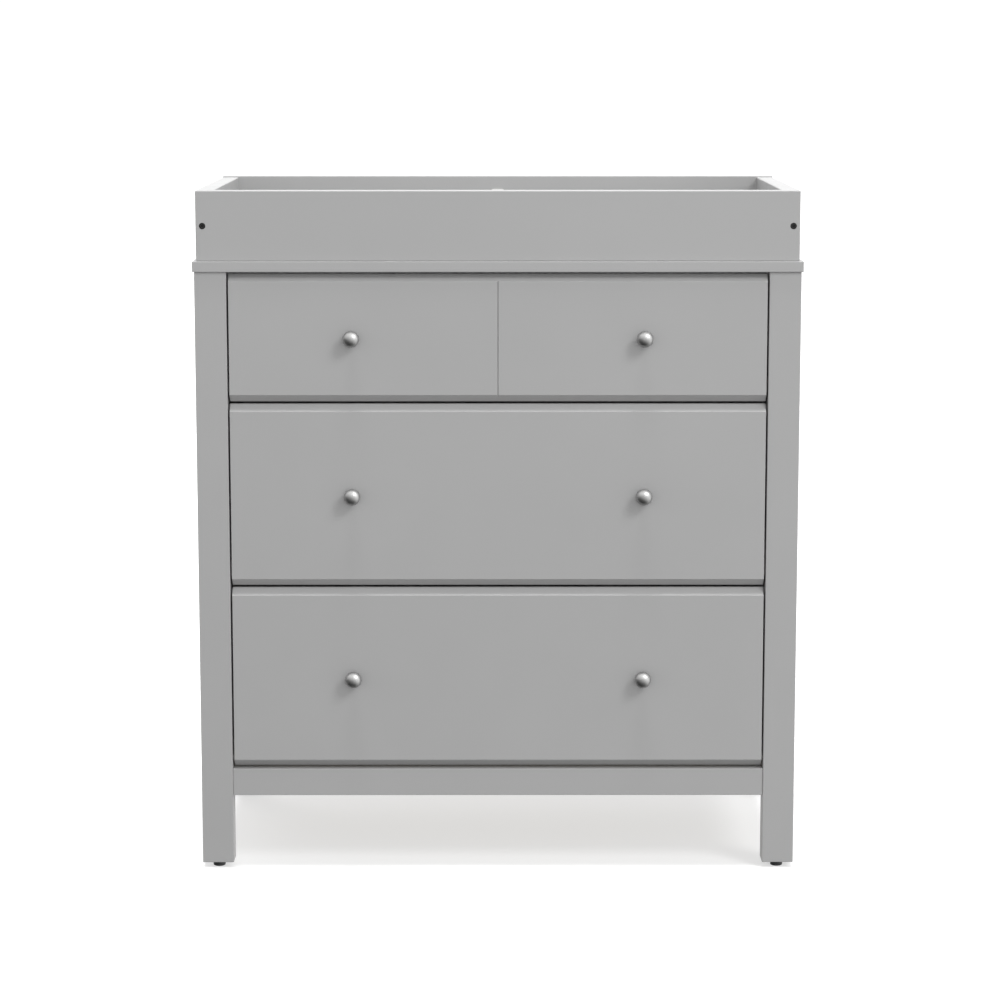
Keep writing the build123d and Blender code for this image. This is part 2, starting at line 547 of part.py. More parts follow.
for name, (front_bottom, front_top) in DRAWERS.items():
    box_bottom = BOX_BOTTOM[name]
    box_top = box_bottom + SIDE_HEIGHTS[name]
    floor_z = (box_bottom + BOTTOM_LIFT, box_bottom + BOTTOM_LIFT + BOTTOM_THICKNESS)
    front_housing = DRAWER_BACK - HOUSING

    side = block((BOX_IN, BOX_OUT), (front_housing, BOX_REAR), (box_bottom, box_top))
    floor = block((-BOX_IN - HOUSING, BOX_IN + HOUSING), (front_housing, BOX_REAR), floor_z)
    back = block((-BOX_IN, BOX_IN), (BOX_REAR - SIDE_THICKNESS, BOX_REAR), (floor_z[1], box_top - BACK_DROP))
    front = drawer_front(front_bottom, front_top)
    front = front - side - mirror(side, about=Plane.YZ) - floor
    side -= floor

    if name == "upper":
        groove = [(-GROOVE_HALF_WIDTH, FACE_Y), (GROOVE_HALF_WIDTH, FACE_Y), (0, FACE_Y + GROOVE_DEPTH_V)]
        start = front_bottom + BEVEL_HEIGHT
        front -= prism(Plane.XY.offset(start), groove, front_top - BEVEL_HEIGHT - start)

    knobs, knob_screws = [], []
    for x in (-KNOB_X, KNOB_X):
        z = KNOB_Z[name]
        knobs.append(Pos(x, FACE_Y, z) * knob_shape)
        head = rod((0, 1, 0), (x, DRAWER_BACK, z), KNOB_SCREW_HEAD[1], KNOB_SCREW_HEAD[0])
        shank_length = FRONT_THICKNESS + KNOB_SCREW_IN_KNOB
        knob_screws.append(head + rod((0, -1, 0), (x, DRAWER_BACK, z), shank_length, SCREW_RADIUS))
        front -= rod((0, -1, 0), (x, DRAWER_BACK, z), FRONT_THICKNESS, KNOB_HOLE)

    write(f"{name}_drawer_front", front)
    write(f"{name}_drawer_right_side", side)
    write(f"{name}_drawer_left_side", mirror(side, about=Plane.YZ))
    write(f"{name}_drawer_back", back)
    write(f"{name}_drawer_bottom", floor)
    write(f"{name}_drawer_knobs", *knobs)
    write(f"{name}_drawer_knob_screws", *knob_screws)
    write(f"{name}_drawer_runners", *both_sides(drawer_runner(box_bottom)))
    wheel = roller(drawer_web + ROLLER_PLAY, DRAWER_ROLLER_Y, box_bottom + DRAWER_ROLLER_Z)
    write(f"{name}_drawer_rollers", *both_sides(wheel))

# ---------------------------------------------------------------- cabinet and tray nodes
write("top_board", top_board)
write("front_top_rail", front_top_rail)
write("upper_divider_rail", upper_divider)
write("lower_divider_rail", lower_divider)
write("bottom_rail", bottom_rail)
write("front_apron", front_apron)
write("rear_top_rail", rear_top_rail)
write("rear_bottom_rail", rear_bottom_rail)
write("back_panel", back_panel)
write("back_panel_nails", *nails)
write("frame_cam_bolts", *cam_studs)
write("frame_cam_locks", *cam_locks)
write("leg_glides", *glides)
write("runner_cleats", *cleats)
write("cabinet_runners", *cabinet_runners)
write("cabinet_screws", *top_screws, *runner_screws)
write("tray_front_rail", tray_front)
write("tray_back_rail", tray_back)
write("tray_right_rail", tray_side)
write("tray_left_rail", mirror(tray_side, about=Plane.YZ))
write("tray_bolts", *tray_bolts)
write("tray_barrel_nuts", *tray_nuts)
write("tray_corner_brace", brace)
write("tray_brace_screws", *brace_screws)
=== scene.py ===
"""Looks for a changing table: a three-drawer dresser with a changing tray bolted on its top.

Lengths are metres. +Z is up, the drawers face -Y and +X is the right-hand side seen from the front.
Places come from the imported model's node boxes. Painted boards, turned hardware and drawer boxes are
surfaces worked out with numpy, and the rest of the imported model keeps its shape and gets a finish.
"""

import logging
import math
from collections.abc import Callable, Sequence
from dataclasses import dataclass
from enum import Enum

import bpy
import numpy as np
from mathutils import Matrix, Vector


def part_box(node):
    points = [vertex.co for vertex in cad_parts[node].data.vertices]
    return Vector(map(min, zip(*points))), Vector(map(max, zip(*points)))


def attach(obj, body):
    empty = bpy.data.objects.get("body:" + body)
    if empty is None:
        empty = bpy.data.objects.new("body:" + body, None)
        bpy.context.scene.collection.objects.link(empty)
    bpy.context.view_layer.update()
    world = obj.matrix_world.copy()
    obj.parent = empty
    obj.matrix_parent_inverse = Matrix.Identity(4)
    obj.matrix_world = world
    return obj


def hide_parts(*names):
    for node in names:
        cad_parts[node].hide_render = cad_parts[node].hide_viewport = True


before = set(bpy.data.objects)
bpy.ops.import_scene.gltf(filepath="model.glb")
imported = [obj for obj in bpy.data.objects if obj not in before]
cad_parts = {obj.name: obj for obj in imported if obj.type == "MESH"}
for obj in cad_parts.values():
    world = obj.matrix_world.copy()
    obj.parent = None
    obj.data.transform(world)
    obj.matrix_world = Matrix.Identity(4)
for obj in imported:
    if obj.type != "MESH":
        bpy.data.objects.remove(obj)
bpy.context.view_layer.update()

log = logging.getLogger("changing_table")

WELD_DECIMALS = 7  # points that agree to this many decimals of a metre are one
MOVED = 1e-9  # a carved point has moved if it is further than this from where it was
SHORTEST = 1e-15  # keeps a division by a length away from zero
SHORTEST_STEP = 1e-12  # the same, between two points of a profile
SMALLEST_SINE = 1e-6  # the same, by a sine or a cosine
UNTINTED = (1.0, 1.0, 1.0)  # a colour that changes nothing when it is multiplied by
NOISE_LOW, NOISE_HIGH = 0.3, 0.7  # where most of a noise's values lie

Colour = tuple[float, float, float]
Profile = Sequence[tuple[float, float]]


# ------------------------------------------------------------------------------ named options
class Drawer(Enum):
    """The three drawers, from the top down."""

    UPPER = "upper"
    MIDDLE = "middle"
    LOWER = "lower"


class Side(Enum):
    """Left and right, as signs of X."""

    LEFT = -1
    RIGHT = 1

    @property
    def word(self) -> str:
        """The side's word in node names."""
        return self.name.lower()


class Grain(Enum):
    """The direction that wood fibres run in, as how much the pattern is squeezed along X, Y and Z."""

    ALONG_X = (0.05, 1.0, 1.0)
    ALONG_Y = (1.0, 0.05, 1.0)


class Slot(Enum):
    """The record's material slots."""

    PAINT = "grey_paint"
    DRAWER_BOX = "drawer_box"
    DRAWER_FLOOR = "drawer_floor"
    HARDBOARD = "hardboard"
    PINE = "bare_pine"
    NICKEL = "satin_nickel"
    ZINC = "zinc_hardware"
    BLACK_BOLT = "black_bolts"
    RUNNER = "white_runners"
    NYLON = "nylon"
    BLACK_PLASTIC = "black_plastic"


# ------------------------------------------------------------------------------ surfaces
@dataclass
class Surface:
    """Faces worked out as whole arrays.

    Attributes:
        points: (n, 3) places.
        faces: arrays of point numbers, (m, k) for the faces with k corners.
        normals: arrays of corner directions, (m, k, 3), that match faces.
    """

    points: np.ndarray
    faces: list[np.ndarray]
    normals: list[np.ndarray]

    def welded(self) -> "Surface":
        """Joins the points that share a place, and drops the corners that this makes double.

        Returns:
            The joined surface, without the faces that fewer than three corners are left of.
        """
        _, first, number = np.unique(
            np.round(self.points, WELD_DECIMALS), axis=0, return_index=True, return_inverse=True
        )
        number = number.reshape(-1)
        faces, normals = [], []
        for corners, directions in zip(self.faces, self.normals):
            joined = number[corners]
            double = joined == np.roll(joined, -1, axis=1)
            for lost in np.unique(double.sum(1)):
                sides = joined.shape[1] - int(lost)
                if sides < 3:
                    continue
                rows = double.sum(1) == lost
                kept = ~double[rows]
                faces.append(joined[rows][kept].reshape(-1, sides))
                normals.append(directions[rows][kept].reshape(-1, sides, 3))
        return Surface(self.points[first], faces, normals)

    def mesh(self, name: str) -> bpy.types.Mesh:
        """Puts the faces into a mesh, with their own corner normals.

        Args:
            name: the mesh's name.

        Returns:
            The new mesh.
        """
        whole = self.welded()
        mesh = bpy.data.meshes.new(name)
        polygons = [face for block in whole.faces for face in block.tolist()]
        mesh.from_pydata(whole.points.tolist(), [], polygons)
        mesh.polygons.foreach_set("use_smooth", np.ones(len(mesh.polygons), bool))
        corners = np.concatenate([block.reshape(-1, 3) for block in whole.normals])
        mesh.normals_split_custom_set(corners.tolist())
        mesh.update()
        return mesh


def together(surfaces: Sequence[Surface]) -> Surface:
    """One surface that holds several.

    Args:
        surfaces: the surfaces to put together.

    Returns:
        Their points, faces and normals one after the other.
    """
    starts = np.cumsum([0] + [len(surface.points) for surface in surfaces[:-1]])
    return Surface(
        np.concatenate([surface.points for surface in surfaces]),
        [face + start for surface, start in zip(surfaces, starts) for face in surface.faces],
        [block for surface in surfaces for block in surface.normals],
    )


def grid_faces(rows: int, columns: int) -> np.ndarray:
    """Point numbers of the four-cornered faces on a grid whose last column meets its first.

    Args:
        rows: the grid's rows.
        columns: the grid's columns.

    Returns:
        (faces, 4) point numbers, counter-clockwise where rows run up and columns run to the left-hand
        turn of them.
    """
    here = np.arange(columns)
    beside = np.roll(here, -1)
    row = np.arange(rows - 1)[:, None] * columns
    face = np.stack([row + here, row + beside, row + columns + beside, row + columns + here], -1)
    return face.reshape(-1, 4)


def flat_normals(points: np.ndarray, faces: np.ndarray) -> np.ndarray:
    """The face's own direction at each of its corners, from the cross product of its diagonals.

    Args:
        points: (n, 3) places.
        faces: (m, 4) point numbers.

    Returns:
        (m, 4, 3) directions.
    """
    corner = points[faces]
    across = np.cross(corner[:, 2] - corner[:, 0], corner[:, 3] - corner[:, 1])
    length = np.linalg.norm(across, axis=1, keepdims=True)
    return np.repeat((across / np.maximum(length, SHORTEST))[:, None], 4, axis=1)


def rounded_prism(
    outline: Sequence[tuple[float, float]],
    span: tuple[float, float],
    axes: str,
    radius: float,
    steps: int = 4,
    stations: Sequence[float] = (),
    carve: Callable[[np.ndarray], np.ndarray] | None = None,
) -> Surface:
    """A bar with a constant outline and all of its outer edges rounded.

    The outline is drawn in by the radius. A point of the surface is a corner of that inner outline plus
    the radius times a direction, and the direction turns through the angle theta from one side's normal
    to the next, and through phi from the low end to the high end: (cos phi cos theta,
    cos phi sin theta, sin phi). Inner corners stay sharp.

    Args:
        outline: corners in the first two axes, counter-clockwise.
        span: low and high end along the third axis.
        axes: the outline's two axes and the bar's axis, "xyz", "yzx" or "zxy".
        radius: the rounding.
        steps: how many faces turn each quarter.
        stations: more places along the bar.
        carve: moves the points, to cut a groove; the faces that it moves are flat.

    Returns:
        The closed surface.
    """
    corners = np.array(outline, float)
    along = np.roll(corners, -1, axis=0) - corners
    after = np.stack([along[:, 1], -along[:, 0]], 1) / np.linalg.norm(along, axis=1)[:, None]
    before = np.roll(after, 1, axis=0)
    dot = (before * after).sum(1)
    turn = np.arctan2(before[:, 0] * after[:, 1] - before[:, 1] * after[:, 0], dot)
    start = np.arctan2(before[:, 1], before[:, 0])
    theta = start[:, None] + turn[:, None] * np.linspace(0, 1, steps + 1)
    fan = np.stack([np.cos(theta), np.sin(theta)], -1)
    mitre = (before + after) / (1 + dot)[:, None]
    inner = corners - radius * mitre
    reach = np.where(turn[:, None, None] >= 0, fan, mitre[:, None, :])

    quarter = np.linspace(-math.pi / 2, 0, steps + 1)
    phi = np.concatenate([quarter, np.zeros(len(stations)), -quarter[::-1]])
    place = np.concatenate(
        [
            span[0] + radius * (1 + np.sin(quarter)),
            np.array(stations, float),
            span[1] - radius * (1 + np.sin(quarter[::-1])),
        ]
    )
    flat = inner[None, :, None, :] + radius * np.cos(phi)[:, None, None, None] * reach[None]
    shape = flat.shape[:3]
    columns = ["xyz".index(axis) for axis in axes]
    points, normals = np.empty((*shape, 3)), np.empty((*shape, 3))
    points[..., columns[:2]] = flat
    points[..., columns[2]] = place[:, None, None]
    normals[..., columns[:2]] = np.cos(phi)[:, None, None, None] * fan[None]
    normals[..., columns[2]] = np.sin(phi)[:, None, None]

    rows, ring = shape[0], shape[1] * shape[2]
    points, normals = points.reshape(-1, 3), normals.reshape(-1, 3)
    faces = grid_faces(rows, ring)
    directions = normals[faces]
    if carve is not None:
        carved = carve(points)
        moved = np.abs(carved - points).max(1) > MOVED
        cut = moved[faces].any(1)
        points = carved
        directions[cut] = flat_normals(points, faces)[cut]
    cap = np.arange(shape[1]) * shape[2]
    ends = np.stack([cap[::-1], cap + (rows - 1) * ring])
    axis = np.zeros((2, shape[1], 3))
    axis[0, :, columns[2]], axis[1, :, columns[2]] = -1, 1
    return Surface(points, [faces, ends], [directions, axis])


def outline_of(low: Vector, high: Vector, axes: str) -> list[tuple[float, float]]:
    """The rectangle between two corners, in the first two axes.

    Args:
        low: the box's lowest corner.
        high: the box's highest corner.
        axes: the outline's two axes and the bar's axis.

    Returns:
        The rectangle's corners, counter-clockwise.
    """
    u, v = ("xyz".index(axis) for axis in axes[:2])
    return [(low[u], low[v]), (high[u], low[v]), (high[u], high[v]), (low[u], high[v])]


def board_like(node: str, edge: float) -> Surface:
    """A board with rounded edges that fills a node's box, its grid running along its longest side.

    Args:
        node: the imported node.
        edge: the rounding of its edges.

    Returns:
        The board's surface.
    """
    low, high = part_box(node)
    longest = max(range(3), key=lambda axis: high[axis] - low[axis])
    axes = ("yzx", "zxy", "xyz")[longest]
    return rounded_prism(outline_of(low, high, axes), (low[longest], high[longest]), axes, edge)


def mirrored(surface: Surface) -> Surface:
    """The surface on the other side of X = 0: each X changes sign, and each face's order is reversed.

    Args:
        surface: the surface to mirror.

    Returns:
        The mirror image, with its faces still pointing outwards.
    """
    flip = np.array([-1.0, 1.0, 1.0])
    return Surface(
        surface.points * flip,
        [face[:, ::-1] for face in surface.faces],
        [(block * flip)[:, ::-1] for block in surface.normals],
    )


# ------------------------------------------------------------------------------ turned surfaces
HEXAGON_SIDES, CROSS_ARMS = 6, 4


@dataclass(frozen=True)
class Recess:
    """The outline of a tool's recess, as a radius that depends on the angle.

    Attributes:
        sides: a hexagon's sides or a cross's arms.
        width: the arm's width over its length, for a cross.
    """

    sides: int
    width: float = 0.3

    def reach(self, theta: np.ndarray) -> np.ndarray:
        """Radius at each angle, as a share of the recess's size.

        A hexagon's side lies at cos 30 over the cosine of the angle from the side's middle. A cross is
        the further of two crossed bars, each as long as the size and as wide as width.

        Args:
            theta: the angles.

        Returns:
            The radius at each angle.
        """
        if self.sides == HEXAGON_SIDES:
            sixth = 2 * math.pi / HEXAGON_SIDES
            return math.cos(sixth / 2) / np.cos((theta % sixth) - sixth / 2)
        sine, cosine = np.abs(np.sin(theta)), np.abs(np.cos(theta))
        half = self.width / 2
        sine, cosine = np.maximum(sine, SMALLEST_SINE), np.maximum(cosine, SMALLEST_SINE)
        flat = np.minimum(1 / cosine, half / sine)
        tall = np.minimum(1 / sine, half / cosine)
        return np.maximum(flat, tall)


HEXAGON, CROSS = Recess(HEXAGON_SIDES), Recess(CROSS_ARMS)


@dataclass(frozen=True)
class Run:
    """One smooth stretch of a turned profile.

    Attributes:
        points: (height along the axis, radius) pairs, from the base round to the top.
        recess: the outline that the radius follows in place of a circle.
    """

    points: Profile
    recess: Recess | None = None


def turned(
    runs: Sequence[Run], centre: Sequence[float], direction: Sequence[float], sides: int = 48
) -> Surface:
    """A profile carried round an axis.

    A point is the centre plus its height times the axis plus its radius times (cos theta, sin theta) in
    the plane across the axis. A corner's normal is the profile's own normal, smooth inside a run and
    sharp between two runs; the faces of a recess are flat.

    Args:
        runs: the profile, in runs that each start where the one before ends.
        centre: the point at height zero.
        direction: unit vector of the axis.
        sides: how many faces go round.

    Returns:
        The closed surface.
    """
    axis = Vector(direction)
    first = axis.orthogonal().normalized()
    second = axis.cross(first)
    theta = np.arange(sides) * (2 * math.pi / sides)
    circle = np.cos(theta)[:, None] * np.array(first) + np.sin(theta)[:, None] * np.array(second)
    parts = []
    for run in runs:
        profile = np.array(run.points, float)
        step = np.gradient(profile, axis=0)
        step /= np.maximum(np.linalg.norm(step, axis=1), SHORTEST_STEP)[:, None]
        reach = np.ones(sides) if run.recess is None else run.recess.reach(theta)
        radius = profile[:, 1][:, None] * reach[None, :]
        points = (
            np.array(centre, float)
            + profile[:, 0][:, None, None] * np.array(axis)
            + radius[..., None] * circle[None]
        ).reshape(-1, 3)
        normals = -step[:, 1][:, None, None] * np.array(axis) + step[:, 0][:, None, None] * circle[None]
        faces = grid_faces(len(profile), sides)
        smooth = normals.reshape(-1, 3)[faces]
        parts.append(Surface(points, [faces], [flat_normals(points, faces) if run.recess else smooth]))
    return together(parts)


def curve_through(points: Profile, count: int) -> Profile:
    """Points on a smooth curve, a Catmull-Rom spline, through a few given ones.

    Between two known points p1 and p2, with p0 before and p3 behind, the curve is half of the cubic
    2 p1 + (p2 - p0) t + (2 p0 - 5 p1 + 4 p2 - p3) t squared + (3 p1 - p0 - 3 p2 + p3) t cubed.

    Args:
        points: what the curve goes through.
        count: how many points to give back.

    Returns:
        The points, evenly spaced in the spline's own measure.
    """
    known = np.array(points, float)
    padded = np.vstack([2 * known[0] - known[1], known, 2 * known[-1] - known[-2]])
    measure = np.linspace(0, len(known) - 1, count)
    piece = np.minimum(measure.astype(int), len(known) - 2)
    t = (measure - piece)[:, None]
    p0, p1, p2, p3 = (padded[piece + shift] for shift in range(4))
    square, cube = 2 * p0 - 5 * p1 + 4 * p2 - p3, 3 * p1 - p0 - 3 * p2 + p3
    curve = (2 * p1 + (p2 - p0) * t + square * t**2 + cube * t**3) / 2
    return tuple(map(tuple, curve))


# ------------------------------------------------------------------------------ node bench
MIX_SHARE, MIX_FIRST, MIX_SECOND = 0, 6, 7  # a colour Mix node's input sockets
MIX_COLOUR = 2  # and its output socket
NEW_STOP = 0.5  # where a ramp's new stop lies before it gets its own place


class NodeBench:
    """A material's node tree, with short calls that add nodes and join them."""

    def __init__(self, name: str) -> None:
        """Starts a material with a principled shader.

        Args:
            name: the material's name.
        """
        self.material = bpy.data.materials.new(name)
        self.material.use_nodes = True
        self.tree = self.material.node_tree
        self.tree.nodes.clear()
        self.shader = self.add("ShaderNodeBsdfPrincipled")
        output = self.add("ShaderNodeOutputMaterial")
        self.join(self.shader.outputs["BSDF"], output.inputs["Surface"])
        self.place = self.add("ShaderNodeTexCoord").outputs["Object"]

    def add(self, kind: str, **settings: object) -> bpy.types.Node:
        """A new node.

        Args:
            kind: the node's type.
            settings: its properties.

        Returns:
            The node.
        """
        node = self.tree.nodes.new(kind)
        for key, value in settings.items():
            setattr(node, key, value)
        return node

    def join(self, source: bpy.types.NodeSocket, target: bpy.types.NodeSocket) -> None:
        """A link between two sockets."""
        self.tree.links.new(source, target)

    def set(self, **values: object) -> None:
        """Sets constants on the shader's own sockets.

        Args:
            values: the sockets' names, with _ for a space, and their values.
        """
        for key, value in values.items():
            self.shader.inputs[key.replace("_", " ")].default_value = value

    def stretched(self, scale: Sequence[float]) -> bpy.types.NodeSocket:
        """Scales the place on the object along each axis.

        Args:
            scale: the factors along X, Y and Z.

        Returns:
            The scaled place.
        """
        mapping = self.add("ShaderNodeMapping")
        self.join(self.place, mapping.inputs["Vector"])
        mapping.inputs["Scale"].default_value = scale
        return mapping.outputs["Vector"]

    def noise(
        self,
        scale: float,
        detail: float = 2.0,
        roughness: float = 0.5,
        distortion: float = 0.0,
        at: bpy.types.NodeSocket | None = None,
    ) -> bpy.types.NodeSocket:
        """Soft noise.

        Args:
            scale: cycles per metre.
            detail: octaves.
            roughness: how strong the finer octaves are.
            distortion: how far the pattern is bent.
            at: where it is read; the object's own coordinates when left out.

        Returns:
            The noise's value, about 0.5.
        """
        node = self.add("ShaderNodeTexNoise")
        self.join(at or self.place, node.inputs["Vector"])
        for key, value in (
            ("Scale", scale),
            ("Detail", detail),
            ("Roughness", roughness),
            ("Distortion", distortion),
        ):
            node.inputs[key].default_value = value
        return node.outputs["Fac"]

    def ramp(
        self, source: bpy.types.NodeSocket, stops: Sequence[tuple[float, Sequence[float]]]
    ) -> bpy.types.NodeSocket:
        """Colours along a value.

        Args:
            source: the value.
            stops: (position, red green blue) pairs.

        Returns:
            The colour.
        """
        node = self.add("ShaderNodeValToRGB")
        self.join(source, node.inputs["Fac"])
        while len(node.color_ramp.elements) < len(stops):
            node.color_ramp.elements.new(NEW_STOP)
        for element, (position, colour) in zip(node.color_ramp.elements, stops):
            element.position = position
            element.color = (*colour, 1.0)
        return node.outputs["Color"]

    def spread(self, source: bpy.types.NodeSocket, low: float, high: float) -> bpy.types.NodeSocket:
        """Spreads the range that most of a noise's values lie in.

        Args:
            source: the noise's value.
            low: what the low end becomes.
            high: what the high end becomes.

        Returns:
            The new value.
        """
        return self.mapped(source, (NOISE_LOW, NOISE_HIGH), (low, high))

    def mapped(
        self,
        source: bpy.types.NodeSocket,
        old: tuple[float, float],
        new: tuple[float, float] = (0.0, 1.0),
    ) -> bpy.types.NodeSocket:
        """Maps one range of a value to another in a straight line, and holds it there outside.

        Args:
            source: the value.
            old: the range it has.
            new: the range it gets.

        Returns:
            The new value.
        """
        node = self.add("ShaderNodeMapRange")
        self.join(source, node.inputs["Value"])
        for name, value in zip(("From Min", "From Max", "To Min", "To Max"), (*old, *new)):
            node.inputs[name].default_value = value
        return node.outputs["Result"]

    def along(self, axis: str) -> bpy.types.NodeSocket:
        """One coordinate of the place on the object.

        Args:
            axis: "X", "Y" or "Z".

        Returns:
            The coordinate.
        """
        split = self.add("ShaderNodeSeparateXYZ")
        self.join(self.place, split.inputs["Vector"])
        return split.outputs[axis]

    def clouded(
        self, source: bpy.types.NodeSocket, colour: Colour, low: float, high: float
    ) -> bpy.types.NodeSocket:
        """A colour that a noise makes darker and lighter.

        Args:
            source: the noise's value.
            colour: the colour.
            low: what it is multiplied by at the noise's low end.
            high: what it is multiplied by at the high end.

        Returns:
            The changing colour.
        """
        return self.ramp(source, [(NOISE_LOW, tinted(colour, low)), (NOISE_HIGH, tinted(colour, high))])

    def mixed(
        self, share: float, first: bpy.types.NodeSocket, second: bpy.types.NodeSocket
    ) -> bpy.types.NodeSocket:
        """Multiplies two colours.

        Args:
            share: how far the second colour counts, 0 to 1.
            first: the first colour.
            second: the second colour.

        Returns:
            The product.
        """
        node = self.add("ShaderNodeMix", data_type="RGBA", blend_type="MULTIPLY")
        node.inputs[MIX_SHARE].default_value = share
        self.join(first, node.inputs[MIX_FIRST])
        self.join(second, node.inputs[MIX_SECOND])
        return node.outputs[MIX_COLOUR]

    def bump(
        self,
        height: bpy.types.NodeSocket,
        depth: float,
        strength: float = 1.0,
        over: bpy.types.NodeSocket | None = None,
    ) -> bpy.types.NodeSocket:
        """Relief on the surface.

        Args:
            height: the height, 0 to 1.
            depth: the relief's depth.
            strength: how much of it shows.
            over: relief that this one lies on.

        Returns:
            The bent normal, which is also the shader's normal now.
        """
        node = self.add("ShaderNodeBump")
        node.inputs["Strength"].default_value = strength
        node.inputs["Distance"].default_value = depth
        self.join(height, node.inputs["Height"])
        if over is not None:
            self.join(over, node.inputs["Normal"])
        self.join(node.outputs["Normal"], self.shader.inputs["Normal"])
        return node.outputs["Normal"]


def tinted(colour: Sequence[float], share: float) -> tuple[float, float, float]:
    """Makes a colour lighter or darker.

    Args:
        colour: red, green and blue.
        share: what each part is multiplied by, up to a limit of 1.

    Returns:
        The new colour.
    """
    return tuple(min(1.0, part * share) for part in colour)


# ------------------------------------------------------------------------------ finishes
@dataclass(frozen=True)
class SatinPaint:
    """Sprayed satin paint on smooth board: a faint orange peel, and slow changes of tone and gloss.

    Attributes:
        name: the material's name.
        colour: the paint's colour.
        roughness: its lowest and highest roughness.
        tone_scale: cycles of the slow change of tone in a metre.
        gloss_scale: cycles of the change of gloss in a metre.
        speck_scale: cycles of the fine specks in a metre.
        peel_scale: cycles of the orange peel in a metre.
        peel_depth: depth of the orange peel.
        wave_scale: cycles of the long waves under the peel in a metre.
    """

    name: str = "satin_grey_paint"
    colour: Colour = (0.402, 0.402, 0.402)
    roughness: tuple[float, float] = (0.40, 0.50)
    tone_scale: float = 3.5
    gloss_scale: float = 14.0
    speck_scale: float = 900.0
    peel_scale: float = 420.0
    peel_depth: float = 0.00006
    wave_scale: float = 55.0

    def material(self) -> bpy.types.Material:
        """Builds the paint.

        Returns:
            The material.
        """
        bench = NodeBench(self.name)
        slow = bench.noise(self.tone_scale, detail=3.0, roughness=0.55)
        fine = bench.noise(self.speck_scale, detail=2.0, roughness=0.6)
        tone = bench.clouded(slow, self.colour, 0.985, 1.015)
        speck = bench.clouded(fine, UNTINTED, 0.97, 1.0)
        bench.join(bench.mixed(1.0, tone, speck), bench.shader.inputs["Base Color"])
        gloss = bench.spread(bench.noise(self.gloss_scale, detail=3.0), *self.roughness)
        bench.join(gloss, bench.shader.inputs["Roughness"])
        peel = bench.noise(self.peel_scale, detail=1.5, roughness=0.4)
        waves = bench.noise(self.wave_scale, detail=2.0)
        under = bench.bump(peel, self.peel_depth, strength=0.35)
        bench.bump(waves, self.peel_depth * 2, strength=0.12, over=under)
        bench.set(IOR=1.45, Coat_Weight=0.06, Coat_Roughness=0.3)
        return bench.material


@dataclass(frozen=True)
class PlyLayers:
    """The layers that show on the edges of plywood, light and dark by turns across its thickness.

    Attributes:
        axis: "X" or "Y", the way the thickness runs.
        low: where the board starts on that axis, on the positive side.
        high: where it ends.
        dark: what a dark layer's colour is multiplied by.
        count: how many layers there are, an odd number, so that the outer two are light.
    """

    axis: str
    low: float
    high: float
    dark: Colour = (0.74, 0.67, 0.58)
    count: int = 5

    def tone(self, bench: NodeBench) -> bpy.types.NodeSocket:
        """Builds the layers' shade, the same on both sides of zero.

        Args:
            bench: the bench of the material that they belong to.

        Returns:
            The shade, a colour to multiply by.
        """
        distance = bench.add("ShaderNodeMath", operation="ABSOLUTE")
        bench.join(bench.along(self.axis), distance.inputs[0])
        depth = bench.mapped(distance.outputs["Value"], (self.low, self.high))
        shades = [self.dark if number % 2 else UNTINTED for number in range(self.count)]
        stops = [(number / self.count, shade) for number, shade in enumerate(shades)]
        tone = bench.ramp(depth, stops)
        tone.node.color_ramp.interpolation = "CONSTANT"
        return tone


@dataclass(frozen=True)
class SawnWood:
    """Wood or plywood face: long fibres, slow growth bands and small pores, along one direction.

    Attributes:
        name: the material's name, before the grain's.
        light: colour of the early wood.
        dark: colour of the late wood.
        grain: direction of the fibres.
        roughness: its lowest and highest roughness.
        band_scale: cycles of the growth bands in a metre across the grain.
        fibre_scale: cycles of the fibres in a metre across the grain.
        pore_scale: cycles of the pores in a metre across the grain.
        fibre_shade: what the colour is multiplied by between fibres.
        pore_shade: what the colour is multiplied by in a pore.
        fibre_depth: relief of the fibres.
        pore_depth: relief of the pores.
        layers: the layers on its edges, for plywood.
    """

    name: str
    light: Colour
    dark: Colour
    grain: Grain
    roughness: tuple[float, float] = (0.5, 0.64)
    band_scale: float = 9.0
    fibre_scale: float = 190.0
    pore_scale: float = 620.0
    fibre_shade: Colour = (0.84, 0.82, 0.79)
    pore_shade: Colour = (0.72, 0.68, 0.62)
    fibre_depth: float = 0.00012
    pore_depth: float = 0.0001
    layers: PlyLayers | None = None

    def material(self) -> bpy.types.Material:
        """Builds the wood.

        Returns:
            The material.
        """
        bench = NodeBench(f"{self.name}_{self.grain.name.lower()}")
        long_way = bench.stretched(self.grain.value)
        bands = bench.noise(self.band_scale, detail=3.0, roughness=0.55, distortion=1.4, at=long_way)
        fibres = bench.noise(self.fibre_scale, detail=4.0, roughness=0.65, distortion=0.3, at=long_way)
        pores = bench.noise(self.pore_scale, detail=2.0, at=long_way)
        middle = tuple((a + b) / 2 for a, b in zip(self.light, self.dark))
        growth = [(0.3, self.dark), (0.48, self.light), (0.56, middle), (0.72, self.light)]
        streak = bench.ramp(fibres, [(0.32, self.fibre_shade), (0.6, UNTINTED)])
        pore = bench.ramp(pores, [(0.33, self.pore_shade), (0.4, UNTINTED)])
        colour = bench.mixed(0.6, bench.mixed(0.8, bench.ramp(bands, growth), streak), pore)
        if self.layers is not None:
            colour = bench.mixed(1.0, colour, self.layers.tone(bench))
        bench.join(colour, bench.shader.inputs["Base Color"])
        bench.join(bench.spread(fibres, *self.roughness), bench.shader.inputs["Roughness"])
        relief = bench.bump(fibres, self.fibre_depth, strength=0.35)
        bench.bump(pores, self.pore_depth, strength=0.2, over=relief)
        bench.set(IOR=1.48)
        return bench.material


